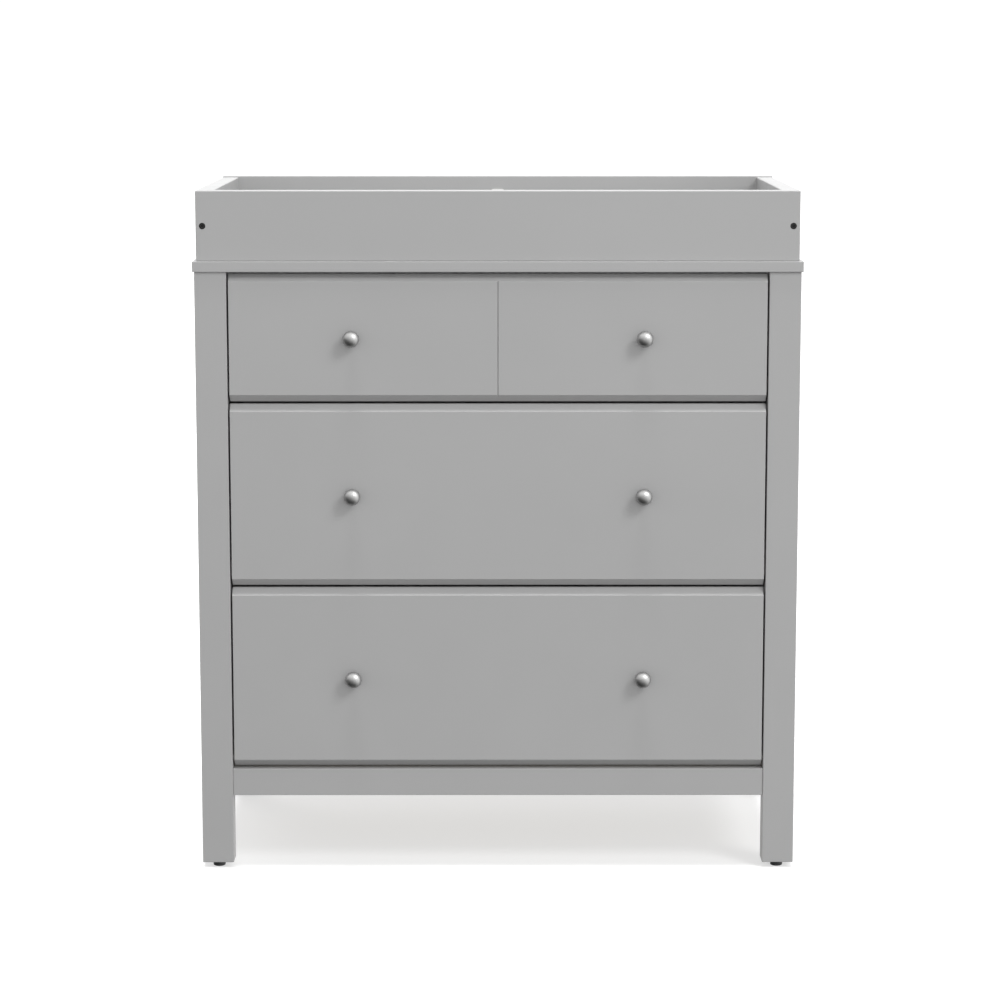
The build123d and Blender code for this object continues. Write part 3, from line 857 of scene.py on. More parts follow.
@dataclass(frozen=True)
class PressedFibre:
    """Hardboard: matted fibres that lie every way, with dark flecks and a waxy smooth side.

    Attributes:
        name: the material's name.
        light: colour of the palest fibres.
        dark: colour between them.
        fleck: what the colour is multiplied by in a fleck.
        roughness: its lowest and highest roughness.
        mat_scale: cycles of the matted fibres in a metre.
        cloud_scale: cycles of the slow change of tone in a metre.
        fleck_scale: cycles of the flecks in a metre.
        mat_depth: relief of the fibres.
    """

    name: str = "pressed_hardboard"
    light: Colour = (0.34, 0.235, 0.145)
    dark: Colour = (0.2, 0.13, 0.075)
    fleck: Colour = (0.55, 0.5, 0.45)
    roughness: tuple[float, float] = (0.45, 0.62)
    mat_scale: float = 260.0
    cloud_scale: float = 7.0
    fleck_scale: float = 1100.0
    mat_depth: float = 0.00015

    def material(self) -> bpy.types.Material:
        """Builds the hardboard.

        Returns:
            The material.
        """
        bench = NodeBench(self.name)
        mat = bench.noise(self.mat_scale, detail=5.0, roughness=0.72, distortion=2.2)
        cloud = bench.noise(self.cloud_scale, detail=3.0)
        fleck = bench.noise(self.fleck_scale, detail=2.0, roughness=0.6, distortion=1.0)
        tone = bench.ramp(mat, [(0.34, self.dark), (0.62, self.light)])
        shade = bench.clouded(cloud, UNTINTED, 0.88, 1.0)
        dots = bench.ramp(fleck, [(0.3, self.fleck), (0.38, UNTINTED)])
        colour = bench.mixed(1.0, bench.mixed(1.0, tone, shade), dots)
        bench.join(colour, bench.shader.inputs["Base Color"])
        bench.join(bench.spread(mat, *self.roughness), bench.shader.inputs["Roughness"])
        bench.bump(mat, self.mat_depth, strength=0.4)
        bench.set(IOR=1.48)
        return bench.material


@dataclass(frozen=True)
class PlatedMetal:
    """Plated metal: fine polishing marks, and a gloss that changes slowly over the surface.

    Attributes:
        name: the material's name.
        colour: the metal's colour.
        roughness: its lowest and highest roughness.
        mark_depth: depth of the polishing marks.
        mark_scale: cycles of the marks in a metre.
        cloud_scale: cycles of the slow change of tone in a metre.
    """

    name: str
    colour: Colour
    roughness: tuple[float, float]
    mark_depth: float = 0.00001
    mark_scale: float = 1500.0
    cloud_scale: float = 90.0

    def material(self) -> bpy.types.Material:
        """Builds the metal.

        Returns:
            The material.
        """
        bench = NodeBench(self.name)
        marks = bench.noise(self.mark_scale, detail=3.0, roughness=0.6, distortion=0.6)
        cloud = bench.noise(self.cloud_scale, detail=2.0)
        tone = bench.clouded(cloud, self.colour, 0.94, 1.04)
        bench.join(tone, bench.shader.inputs["Base Color"])
        bench.join(bench.spread(marks, *self.roughness), bench.shader.inputs["Roughness"])
        bench.bump(marks, self.mark_depth, strength=0.25)
        bench.set(Metallic=1.0)
        return bench.material


@dataclass(frozen=True)
class SatinNickel:
    """Satin nickel on the knobs, with painted shade: the colour darkens from the cap towards the
    drawer, standing in for the dark reflections near the rim.

    Attributes:
        face: Y of the drawers' faces, where the knobs stand.
        projection: how far the knobs stand out.
        name: the material's name.
        bright: colour of the cap, where no painted shade falls.
        painted_shade: colour near the drawer, a painted shade that darkens the rim's reflections.
        roughness: its lowest and highest roughness.
        mark_depth: depth of the polishing marks.
        mark_scale: cycles of the marks in a metre.
        cloud_scale: cycles of the slow change of tone in a metre.
    """

    face: float
    projection: float
    name: str = "satin_nickel"
    bright: Colour = (0.54, 0.54, 0.535)
    # painted shade: the knob's colour near the drawer, darker than the cap's, stands in for dark
    # reflections
    painted_shade: Colour = (0.34, 0.34, 0.34)
    roughness: tuple[float, float] = (0.38, 0.45)
    mark_depth: float = 0.00001
    mark_scale: float = 1500.0
    cloud_scale: float = 90.0

    def material(self) -> bpy.types.Material:
        """Builds the nickel.

        Returns:
            The material.
        """
        bench = NodeBench(self.name)
        height = bench.mapped(bench.along("Y"), (self.face, self.face - self.projection))
        marks = bench.noise(self.mark_scale, detail=3.0, roughness=0.6, distortion=0.6)
        # painted shade: the colour darkens with nearness to the drawer's face, in place of the rim's
        # dark reflections
        half_painted_shade = tinted(self.painted_shade, 1.3)
        shade_by_height = [(0.5, self.painted_shade), (0.66, half_painted_shade), (0.84, self.bright), (1.0, self.bright)]
        cloud = bench.clouded(bench.noise(self.cloud_scale), UNTINTED, 0.95, 1.0)
        tone = bench.mixed(1.0, bench.ramp(height, shade_by_height), cloud)
        bench.join(tone, bench.shader.inputs["Base Color"])
        bench.join(bench.spread(marks, *self.roughness), bench.shader.inputs["Roughness"])
        bench.bump(marks, self.mark_depth, strength=0.25)
        bench.set(Metallic=1.0)
        return bench.material


@dataclass(frozen=True)
class Coating:
    """A baked or moulded skin: epoxy on steel, black oxide, nylon or black plastic.

    Attributes:
        name: the material's name.
        colour: the skin's colour.
        roughness: its lowest and highest roughness.
        texture_scale: cycles of its fine texture in a metre.
        texture_depth: depth of the texture.
        metallic: how far it shines like metal.
        subsurface: how far light goes into it.
        cloud_scale: cycles of the slow change of tone in a metre.
        light_depth: how deep light goes, where it does.
    """

    name: str
    colour: Colour
    roughness: tuple[float, float]
    texture_scale: float
    texture_depth: float
    metallic: float = 0.0
    subsurface: float = 0.0
    cloud_scale: float = 30.0
    light_depth: float = 0.002

    def material(self) -> bpy.types.Material:
        """Builds the coating.

        Returns:
            The material.
        """
        bench = NodeBench(self.name)
        fine = bench.noise(self.texture_scale, detail=3.0, roughness=0.6)
        slow = bench.noise(self.cloud_scale, detail=2.0)
        tone = bench.clouded(slow, self.colour, 0.93, 1.03)
        bench.join(tone, bench.shader.inputs["Base Color"])
        bench.join(bench.spread(fine, *self.roughness), bench.shader.inputs["Roughness"])
        bench.bump(fine, self.texture_depth, strength=0.4)
        bench.set(
            Metallic=self.metallic,
            Subsurface_Weight=self.subsurface,
            Subsurface_Scale=self.light_depth,
        )
        return bench.material


Finish = SatinPaint | SawnWood | PressedFibre | PlatedMetal | SatinNickel | Coating

PLYWOOD_LIGHT, PLYWOOD_DARK = (0.68, 0.61, 0.5), (0.55, 0.47, 0.36)
PINE_LIGHT, PINE_DARK = (0.7, 0.54, 0.34), (0.52, 0.36, 0.19)
FLOOR_TINT = 0.94  # the drawer floors' plywood is a little darker


class Shelf:
    """The finishes this object uses; each one is built the first time it is asked for."""

    def __init__(self) -> None:
        """Lists the finishes by slot and, for wood, by grain."""
        plain = Grain.ALONG_Y
        face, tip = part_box("upper_drawer_front")[0].y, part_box("upper_drawer_knobs")[0].y
        zinc = PlatedMetal(
            "zinc_plate", (0.62, 0.63, 0.65), (0.24, 0.4), mark_depth=0.00003, mark_scale=900.0
        )
        oxide = Coating(
            "black_oxide",
            (0.03, 0.03, 0.03),
            (0.34, 0.5),
            texture_scale=1300.0,
            texture_depth=2e-5,
            metallic=0.4,
        )
        epoxy = Coating(
            "white_epoxy",
            (0.76, 0.76, 0.74),
            (0.3, 0.42),
            texture_scale=700.0,
            texture_depth=4e-5,
        )
        nylon = Coating(
            "nylon",
            (0.82, 0.82, 0.79),
            (0.34, 0.46),
            texture_scale=800.0,
            texture_depth=2e-5,
            subsurface=0.25,
        )
        plastic = Coating(
            "black_plastic",
            (0.03, 0.03, 0.032),
            (0.45, 0.6),
            texture_scale=1100.0,
            texture_depth=5e-5,
        )
        self.finishes: dict[tuple[Slot, Grain], Finish] = {
            (Slot.PAINT, plain): SatinPaint(),
            (Slot.HARDBOARD, plain): PressedFibre(),
            (Slot.NICKEL, plain): SatinNickel(face, face - tip),
            (Slot.ZINC, plain): zinc,
            (Slot.BLACK_BOLT, plain): oxide,
            (Slot.RUNNER, plain): epoxy,
            (Slot.NYLON, plain): nylon,
            (Slot.BLACK_PLASTIC, plain): plastic,
        }
        side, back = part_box("upper_drawer_right_side"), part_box("upper_drawer_back")
        layers = {
            Grain.ALONG_Y: PlyLayers("X", side[0].x, side[1].x),
            Grain.ALONG_X: PlyLayers("Y", back[0].y, back[1].y),
        }
        thin_light, thin_dark = tinted(PLYWOOD_LIGHT, FLOOR_TINT), tinted(PLYWOOD_DARK, FLOOR_TINT)
        for grain in Grain:
            self.finishes[Slot.DRAWER_BOX, grain] = SawnWood(
                "plywood", PLYWOOD_LIGHT, PLYWOOD_DARK, grain, layers=layers[grain]
            )
            self.finishes[Slot.DRAWER_FLOOR, grain] = SawnWood(
                "thin_plywood", thin_light, thin_dark, grain, band_scale=5.0
            )
            self.finishes[Slot.PINE, grain] = SawnWood(
                "planed_pine", PINE_LIGHT, PINE_DARK, grain, band_scale=22.0
            )
        self.built: dict[tuple[Slot, Grain], bpy.types.Material] = {}

    def take(self, slot: Slot, grain: Grain = Grain.ALONG_Y) -> bpy.types.Material:
        """The slot's material.

        Args:
            slot: the record's slot.
            grain: the direction of the fibres, for wood.

        Returns:
            The material, built once.
        """
        key = (slot, grain)
        if key not in self.built:
            self.built[key] = self.finishes[key].material()
        return self.built[key]


@dataclass
class Assembly:
    """What every sub-assembly needs: the finishes, and the body that its pieces ride on."""

    shelf: Shelf
    body: str = "cabinet"

    def add(
        self,
        name: str,
        surface: Surface,
        slot: Slot,
        replaces: Sequence[str],
        grain: Grain = Grain.ALONG_Y,
    ) -> bpy.types.Object:
        """Makes a piece from a surface and puts it on its body.

        Args:
            name: the piece's name.
            surface: its faces.
            slot: its material slot.
            replaces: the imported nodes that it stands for.
            grain: the direction of wood fibres.

        Returns:
            The new object.
        """
        piece = bpy.data.objects.new(name, surface.mesh(name))
        bpy.context.scene.collection.objects.link(piece)
        piece.data.materials.append(self.shelf.take(slot, grain))
        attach(piece, self.body)
        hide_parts(*replaces)
        log.info("%s: %d faces on %s", name, len(piece.data.polygons), self.body)
        return piece

    def dress(self, node: str, slot: Slot, grain: Grain = Grain.ALONG_Y) -> None:
        """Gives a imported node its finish.

        Args:
            node: the node's name.
            slot: its material slot.
            grain: the direction of wood fibres.
        """
        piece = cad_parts[node]
        material = self.shelf.take(slot, grain)
        if not piece.material_slots:
            piece.data.materials.append(material)
        for holder in piece.material_slots:
            holder.link = "OBJECT"
            holder.material = material
        log.info("%s: packed shape with %s", node, material.name)


# ------------------------------------------------------------------------------ screws, bolts and knobs
RIM_OF_HEIGHT, RIM_OF_RADIUS = 0.4, 0.2  # a head's rounded rim is the smaller of these shares
RIM_STEPS = 6
DOME_STEPS = 7
RECESS_SIDES = 72  # divides by 4 and by 6, so that a recess's corners fall on points
LAND = 0.999  # the recess's outline is this share of the circle that the head's top ends on
TAPER = 0.9  # the recess's floor as a share of its size


@dataclass(frozen=True)
class ScrewHead:
    """A screw, bolt or nail whose head shows, with its shank as a plain rod behind it.

    Attributes:
        radius: of the head.
        height: of the head.
        dome: how far the head's middle stands above its rim.
        shank: radius of the shank.
        length: of the shank.
        recess: outline of the tool's recess, or none.
        recess_radius: size of the recess.
        recess_depth: depth of the recess.
    """

    radius: float
    height: float
    dome: float
    shank: float
    length: float
    recess: Recess | None = None
    recess_radius: float = 0.0
    recess_depth: float = 0.0

    def surface(self, seat: Sequence[float], outward: Sequence[float]) -> Surface:
        """The screw at one place.

        The head's top is an arc: its height falls from the dome's with the square of the radius, and
        its rim is a quarter circle.

        Args:
            seat: the middle of the head's underside.
            outward: unit vector from the seat to the head's top.

        Returns:
            The closed surface.
        """
        rim = min(self.height * RIM_OF_HEIGHT, self.radius * RIM_OF_RADIUS)
        side, crown = self.height - self.dome, self.radius - rim
        turn = np.linspace(0, math.pi / 2, RIM_STEPS).tolist()
        edge = [(side - rim + rim * math.sin(a), crown + rim * math.cos(a)) for a in turn]
        inner = self.recess_radius if self.recess else 0.0
        across = crown + (inner - crown) * np.linspace(0, 1, DOME_STEPS)
        rise = side + self.dome * (1 - (across / crown) ** 2)
        top = list(zip(rise.tolist(), across.tolist()))
        runs = [
            Run(((-self.length, 0.0), (-self.length, self.shank))),
            Run(((-self.length, self.shank), (0.0, self.shank))),
            Run(((0.0, self.shank), (0.0, self.radius))),
            Run(((0.0, self.radius), (side - rim, self.radius))),
            Run(tuple(edge)),
            Run(tuple(top)),
        ]
        if self.recess is None:
            return turned(runs, seat, outward)
        lip = rise[-1]
        ring, bottom = (lip, inner * LAND), (lip - self.recess_depth, inner * TAPER)
        runs.append(Run(((lip, inner), ring)))
        walls = [Run((ring, bottom), self.recess), Run((bottom, (bottom[0], 0.0)), self.recess)]
        return together(
            [
                turned(runs, seat, outward, RECESS_SIDES),
                self.collar(seat, outward, *ring),
                turned(walls, seat, outward, RECESS_SIDES),
            ]
        )

    def collar(
        self, seat: Sequence[float], outward: Sequence[float], height: float, radius: float
    ) -> Surface:
        """The flat ring between the head's round top and the recess's outline.

        Each point lies on the line from the circle of that radius to the recess's outline inside it.

        Args:
            seat: the middle of the head's underside.
            outward: unit vector from the seat to the head's top.
            height: the ring's height over the seat.
            radius: the circle's radius, and the recess's size.

        Returns:
            The ring, an open surface.
        """
        still = ((height, radius), (height, radius))
        outer = turned([Run(still)], seat, outward, RECESS_SIDES)
        inner = turned([Run(still, self.recess)], seat, outward, RECESS_SIDES)
        points = np.concatenate([outer.points[:RECESS_SIDES], inner.points[:RECESS_SIDES]])
        faces = grid_faces(2, RECESS_SIDES)
        return Surface(points, [faces], [np.tile(np.array(outward, float), (len(faces), 4, 1))])


@dataclass(frozen=True)
class Knob:
    """A mushroom knob: a small foot, a waist and a round cap.

    The stretches of its outline are (share of the projection, share of the radius) pairs.

    Attributes:
        radius: of the cap.
        projection: from the drawer's face to the cap's top.
        foot: outline of the foot.
        waist: outline of the waist.
        under: outline of the cap's underside, out to its widest circle.
        fullness: power of the cosine in the cap's outline; 1 is an ellipse, and less is fuller.
        steps: how many points the foot, the waist, the underside and the cap have.
        sides: how many faces go round.
    """

    radius: float
    projection: float
    foot: Profile = ((0.0, 0.53), (0.03, 0.545), (0.065, 0.54))
    waist: Profile = ((0.065, 0.54), (0.15, 0.4), (0.24, 0.375), (0.32, 0.46))
    under: Profile = ((0.32, 0.46), (0.37, 0.78), (0.455, 0.95), (0.583, 1.0))
    fullness: float = 0.93
    steps: tuple[int, int, int, int] = (7, 14, 20, 28)
    sides: int = 72

    def stretch(self, shares: Profile, count: int) -> Profile:
        """A smooth stretch of the outline.

        Args:
            shares: the stretch's points, as shares of the projection and the radius.
            count: how many points to give back.

        Returns:
            (height, radius) pairs in metres.
        """
        return curve_through([(self.projection * a, self.radius * b) for a, b in shares], count)

    def surface(self, base: Sequence[float]) -> Surface:
        """The knob at one place, turned about the line that points out of the drawer.

        Over the cap an angle runs from 0 at the widest circle to a quarter turn at the top. The height
        grows with its sine, and the radius falls with its cosine to the power of the fullness.

        Args:
            base: the middle of the foot, on the drawer's face.

        Returns:
            The closed surface.
        """
        in_foot, in_waist, in_under, in_cap = self.steps
        widest = self.projection * self.under[-1][0]
        lift = np.linspace(0, math.pi / 2, in_cap)
        height = widest + (self.projection - widest) * np.sin(lift)
        radius = self.radius * np.cos(lift) ** self.fullness
        cap = tuple(zip(height.tolist(), radius.tolist()))
        runs = [
            Run(((0.0, 0.0), (0.0, self.radius * self.foot[0][1]))),
            Run(self.stretch(self.foot, in_foot)),
            Run(self.stretch(self.waist, in_waist)),
            Run((*self.stretch(self.under, in_under), *cap[1:])),
        ]
        return turned(runs, base, (0.0, -1.0, 0.0), self.sides)


# ------------------------------------------------------------------------------ cabinet
@dataclass
class Carcass(Assembly):
    """Legs, side panels, top board, apron, rails and back panel."""

    top_edge: float = 0.0009
    leg_edge: float = 0.0012
    panel_edge: float = 0.0008
    apron_edge: float = 0.001
    panel_gap: float = 0.0005
    nails_in_a_row: int = 7
    nail: ScrewHead = ScrewHead(
        radius=0.0022, height=0.0008, dome=0.0003, shank=0.0009, length=0.014
    )

    def rear_leg(self) -> Surface:
        """The right rear leg, an L in plan, rebated for the back panel.

        Returns:
            The leg's surface.
        """
        low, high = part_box("rear_right_leg")
        panel_low, panel_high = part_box("back_panel")
        step_x, step_y = panel_high.x + self.panel_gap, panel_low.y
        outline = [
            (low.x, low.y),
            (high.x, low.y),
            (high.x, high.y),
            (step_x, high.y),
            (step_x, step_y),
            (low.x, step_y),
        ]
        return rounded_prism(outline, (low.z, high.z), "xyz", self.leg_edge)

    def nails(self) -> Surface:
        """The back panel's nails, in a row along each rear rail, evenly spaced over the node's box.

        Returns:
            All of the nails.
        """
        low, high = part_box("back_panel_nails")
        reach = self.nail.radius
        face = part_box("back_panel")[1].y
        return together(
            [
                self.nail.surface((x, face, z), (0, 1, 0))
                for x in np.linspace(low.x + reach, high.x - reach, self.nails_in_a_row).tolist()
                for z in (low.z + reach, high.z - reach)
            ]
        )

    def build(self) -> None:
        """Makes the painted boards, and gives the rest of the cabinet its finishes."""
        self.add("top_panel", board_like("top_board", self.top_edge), Slot.PAINT, ["top_board"])
        for side in Side:
            front, rear = f"front_{side.word}_leg", f"rear_{side.word}_leg"
            self.add(f"{front}_post", board_like(front, self.leg_edge), Slot.PAINT, [front])
            post = self.rear_leg() if side is Side.RIGHT else mirrored(self.rear_leg())
            self.add(f"{rear}_post", post, Slot.PAINT, [rear])
            panel = f"{side.word}_side_panel"
            self.add(f"{panel}_board", board_like(panel, self.panel_edge), Slot.PAINT, [panel])
        self.add("apron_board", board_like("front_apron", self.apron_edge), Slot.PAINT, ["front_apron"])
        self.add("back_nails", self.nails(), Slot.ZINC, ["back_panel_nails"])
        self.dress("back_panel", Slot.HARDBOARD)
        crossings = ("front_top", "upper_divider", "lower_divider", "bottom", "rear_top", "rear_bottom")
        for crossing in crossings:
            self.dress(f"{crossing}_rail", Slot.PAINT)
        self.dress("runner_cleats", Slot.PINE, Grain.ALONG_Y)
        for node in ("frame_cam_bolts", "frame_cam_locks", "cabinet_screws"):
            self.dress(node, Slot.ZINC)
        self.dress("cabinet_runners", Slot.RUNNER)


@dataclass
class Glides(Assembly):
    """The four nail-on glides under the legs."""

    rounding: float = 0.0018
    collar: float = 0.0007
    edge_steps: int = 7
    sides: int = 56

    def surface(self) -> Surface:
        """A low round-edged disc under each leg, with a thin collar at its top.

        Returns:
            The four glides.
        """
        radius, top = self.radius(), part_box("front_right_leg")[0].z
        neck, step = radius - self.collar, top - self.collar * 2
        edge = [
            (self.rounding * (1 - math.cos(a)), radius - self.rounding * (1 - math.sin(a)))
            for a in np.linspace(0, math.pi / 2, self.edge_steps).tolist()
        ]
        runs = [
            Run(((0.0, 0.0), (0.0, radius - self.rounding))),
            Run(tuple(edge)),
            Run(((self.rounding, radius), (step, radius))),
            Run(((step, radius), (step, neck))),
            Run(((step, neck), (top, neck))),
            Run(((top, neck), (top, 0.0))),
        ]
        parts = []
        for leg in (f"{end}_{side.word}_leg" for end in ("front", "rear") for side in Side):
            low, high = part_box(leg)
            middle = ((low.x + high.x) / 2, (low.y + high.y) / 2, low.z - top)
            parts.append(turned(runs, middle, (0, 0, 1), self.sides))
        return together(parts)

    def radius(self) -> float:
        """The glide's radius, from the node's reach past the middle of the outer legs."""
        leg_low, leg_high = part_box("front_right_leg")
        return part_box("leg_glides")[1].x - (leg_low.x + leg_high.x) / 2

    def build(self) -> None:
        """Makes the glides."""
        self.add("leg_glide_pads", self.surface(), Slot.BLACK_PLASTIC, ["leg_glides"])


# ------------------------------------------------------------------------------ changing tray
@dataclass
class ChangingTray(Assembly):
    """Four rails bolted into a frame, and the strap that holds it down."""

    bolt: ScrewHead = ScrewHead(
        radius=0.0046,
        height=0.005,
        dome=0.0,
        shank=0.003,
        length=0.04,
        recess=HEXAGON,
        recess_radius=0.0026,
        recess_depth=0.003,
    )
    strap_thickness: float = 0.0025
    strap_holes: tuple[float, float] = (0.026, 0.062)  # from the strap's corner
    strap_screw: ScrewHead = ScrewHead(
        radius=0.0038,
        height=0.0016,
        dome=0.0007,
        shank=0.002,
        length=0.012,
        recess=CROSS,
        recess_radius=0.0021,
        recess_depth=0.0008,
    )

    def bolts(self) -> Surface:
        """The four bolts; each head's top lies where the node's box ends along Y.

        Returns:
            All of the bolts.
        """
        low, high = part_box("tray_bolts")
        reach, height = self.bolt.radius, self.bolt.height
        middle = (low.z + high.z) / 2
        return together(
            [
                self.bolt.surface((x, y - out * height, middle), (0, out, 0))
                for x in (low.x + reach, high.x - reach)
                for y, out in ((low.y, -1), (high.y, 1))
            ]
        )

    def strap_screws(self) -> Surface:
        """Two screws in the strap's upright leg and two in its foot.

        Returns:
            All of the screws.
        """
        low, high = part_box("tray_corner_brace")
        x, thick = (low.x + high.x) / 2, self.strap_thickness
        parts = []
        for reach in self.strap_holes:
            parts.append(self.strap_screw.surface((x, high.y - thick, low.z + reach), (0, -1, 0)))
            parts.append(self.strap_screw.surface((x, high.y - reach, low.z + thick), (0, 0, 1)))
        return together(parts)

    def build(self) -> None:
        """Makes the bolts and the strap's screws, and paints the rails."""
        self.add("tray_bolt_set", self.bolts(), Slot.BLACK_BOLT, ["tray_bolts"])
        self.add("strap_screw_set", self.strap_screws(), Slot.ZINC, ["tray_brace_screws"])
        for rail in ("tray_front_rail", "tray_back_rail", "tray_left_rail", "tray_right_rail"):
            self.dress(rail, Slot.PAINT)
        self.dress("tray_barrel_nuts", Slot.ZINC)
        self.dress("tray_corner_brace", Slot.RUNNER)


# ------------------------------------------------------------------------------ drawers
@dataclass
class DrawerUnit(Assembly):
    """One drawer: its bevelled front, knobs, box and runners."""

    drawer: Drawer = Drawer.UPPER
    bevel_height: float = 0.0104
    bevel_depth: float = 0.012
    edge: float = 0.0009
    box_edge: float = 0.0015
    groove_half: float = 0.001
    groove_depth: float = 0.0016
    knob_screw: ScrewHead = ScrewHead(
        radius=0.0045,
        height=0.0022,
        dome=0.0008,
        shank=0.002,
        length=0.027,
        recess=CROSS,
        recess_radius=0.0026,
        recess_depth=0.0013,
    )

    def node(self, part: str) -> str:
        """The full name of one of this drawer's nodes."""
        return f"{self.drawer.value}_drawer_{part}"

    def front(self) -> Surface:
        """The drawer front: a board whose top and bottom edges are cut back in wide bevels.

        The upper drawer also has a V groove down its middle. The groove's depth falls off evenly from
        the middle to nothing at its half width, and its ends run out on the bevels.

        Returns:
            The front's surface.
        """
        low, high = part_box(self.node("front"))
        run_out = self.groove_depth / self.bevel_depth
        outline = [
            (high.y, low.z),
            (high.y, high.z),
            (low.y + self.bevel_depth, high.z),
            (low.y + self.bevel_depth * run_out, high.z - self.bevel_height * (1 - run_out)),
            (low.y, high.z - self.bevel_height),
            (low.y, low.z + self.bevel_height),
            (low.y + self.bevel_depth * run_out, low.z + self.bevel_height * (1 - run_out)),
            (low.y + self.bevel_depth, low.z),
        ]
        if self.drawer is not Drawer.UPPER:
            plain = [corner for number, corner in enumerate(outline) if number not in (3, 6)]
            return rounded_prism(plain, (low.x, high.x), "yzx", self.edge)
        half, depth, face = self.groove_half, self.groove_depth, low.y

        def carve(points: np.ndarray) -> np.ndarray:
            """Pushes the face back to the groove's two slopes.

            Args:
                points: the front's points.

            Returns:
                The points, with those over the groove moved into it.
            """
            cut = face + depth * (1 - np.abs(points[:, 0]) / half)
            near = (np.abs(points[:, 0]) < half) & (points[:, 1] < cut)
            carved = points.copy()
            carved[near, 1] = cut[near]
            return carved

        stations = (-half, -half / 2, 0.0, half / 2, half)
        return rounded_prism(outline, (low.x, high.x), "yzx", self.edge, stations=stations, carve=carve)

    def knobs(self) -> Surface:
        """The two knobs, at the ends of the node's box.

        Returns:
            Both knobs.
        """
        low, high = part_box(self.node("knobs"))
        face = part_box(self.node("front"))[0].y
        radius = (high.z - low.z) / 2
        knob = Knob(radius, face - low.y)
        return together(
            [knob.surface((x, face, (low.z + high.z) / 2)) for x in (low.x + radius, high.x - radius)]
        )

    def knob_screws(self) -> Surface:
        """The knobs' screws, their heads on the front's inner face.

        Returns:
            Both screws.
        """
        low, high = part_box(self.node("knob_screws"))
        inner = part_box(self.node("front"))[1].y
        reach = self.knob_screw.radius
        return together(
            [
                self.knob_screw.surface((x, inner, (low.z + high.z) / 2), (0, 1, 0))
                for x in (low.x + reach, high.x - reach)
            ]
        )

    def build(self) -> None:
        """Makes the drawer's front, knobs and box, and finishes its runners."""
        name = self.drawer.value
        self.add(f"{name}_front_board", self.front(), Slot.PAINT, [self.node("front")])
        self.add(f"{name}_knob_pair", self.knobs(), Slot.NICKEL, [self.node("knobs")])
        self.add(f"{name}_knob_screw_pair", self.knob_screws(), Slot.ZINC, [self.node("knob_screws")])
        for part, grain in (
            ("left_side", Grain.ALONG_Y),
            ("right_side", Grain.ALONG_Y),
            ("back", Grain.ALONG_X),
        ):
            node = self.node(part)
            board = board_like(node, self.box_edge)
            self.add(f"{name}_{part}_board", board, Slot.DRAWER_BOX, [node], grain)
        self.dress(self.node("bottom"), Slot.DRAWER_FLOOR, Grain.ALONG_X)
        self.dress(self.node("runners"), Slot.RUNNER)


@dataclass
class RollerPair(Assembly):
    """The two nylon rollers of one runner pair, turned about X, with a round tread and dished faces."""

    node: str = ""
    bore: float = 0.00256
    hub_of_bore: float = 1.7
    tread_thickness: float = 0.0022
    tread_edge: float = 0.0009
    dish: float = 0.0007
    edge_steps: int = 6
    sides: int = 56

    def wheel(self, x: float, out: int) -> Surface:
        """One roller.

        Args:
            x: where its inner face lies.
            out: 1 if it grows towards +X, or -1.

        Returns:
            The closed surface, a ring with a bore.
        """
        low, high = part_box(self.node)
        radius, width = (high.z - low.z) / 2, self.width()
        bore, edge, dish = self.bore, self.tread_edge, self.dish
        hub, shoulder = bore * self.hub_of_bore, radius - self.tread_thickness
        arc = np.linspace(0, math.pi / 2, self.edge_steps).tolist()
        near = [(edge * (1 - math.cos(a)), radius - edge * (1 - math.sin(a))) for a in arc]
        far = [(width - edge * (1 - math.sin(a)), radius - edge * (1 - math.cos(a))) for a in arc]
        runs = [
            Run(((0.0, bore), (0.0, hub))),
            Run(((0.0, hub), (dish, hub + dish))),
            Run(((dish, hub + dish), (dish, shoulder))),
            Run(((dish, shoulder), (0.0, shoulder + dish))),
            Run(((0.0, shoulder + dish), (0.0, radius - edge))),
            Run(tuple(near)),
            Run(((edge, radius), (width - edge, radius))),
            Run(tuple(far)),
            Run(((width, radius - edge), (width, shoulder + dish))),
            Run(((width, shoulder + dish), (width - dish, shoulder))),
            Run(((width - dish, shoulder), (width - dish, hub + dish))),
            Run(((width - dish, hub + dish), (width, hub))),
            Run(((width, hub), (width, bore))),
            Run(((width, bore), (0.0, bore))),
        ]
        centre = (x, (low.y + high.y) / 2, (low.z + high.z) / 2)
        return turned(runs, centre, (out, 0, 0), self.sides)

    def width(self) -> float:
        """The roller's width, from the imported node's own points on the right-hand side.

        Returns:
            The width.
        """
        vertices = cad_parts[self.node].data.vertices
        places = np.empty(len(vertices) * 3, np.float32)
        vertices.foreach_get("co", places)
        across = places[::3]
        right = across[across > 0]
        return float(right.max() - right.min())

    def build(self) -> None:
        """Makes both rollers."""
        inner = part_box(self.node)[1].x - self.width()
        pair = together([self.wheel(inner, 1), self.wheel(-inner, -1)])
        self.add(f"{self.node}_pair", pair, Slot.NYLON, [self.node])


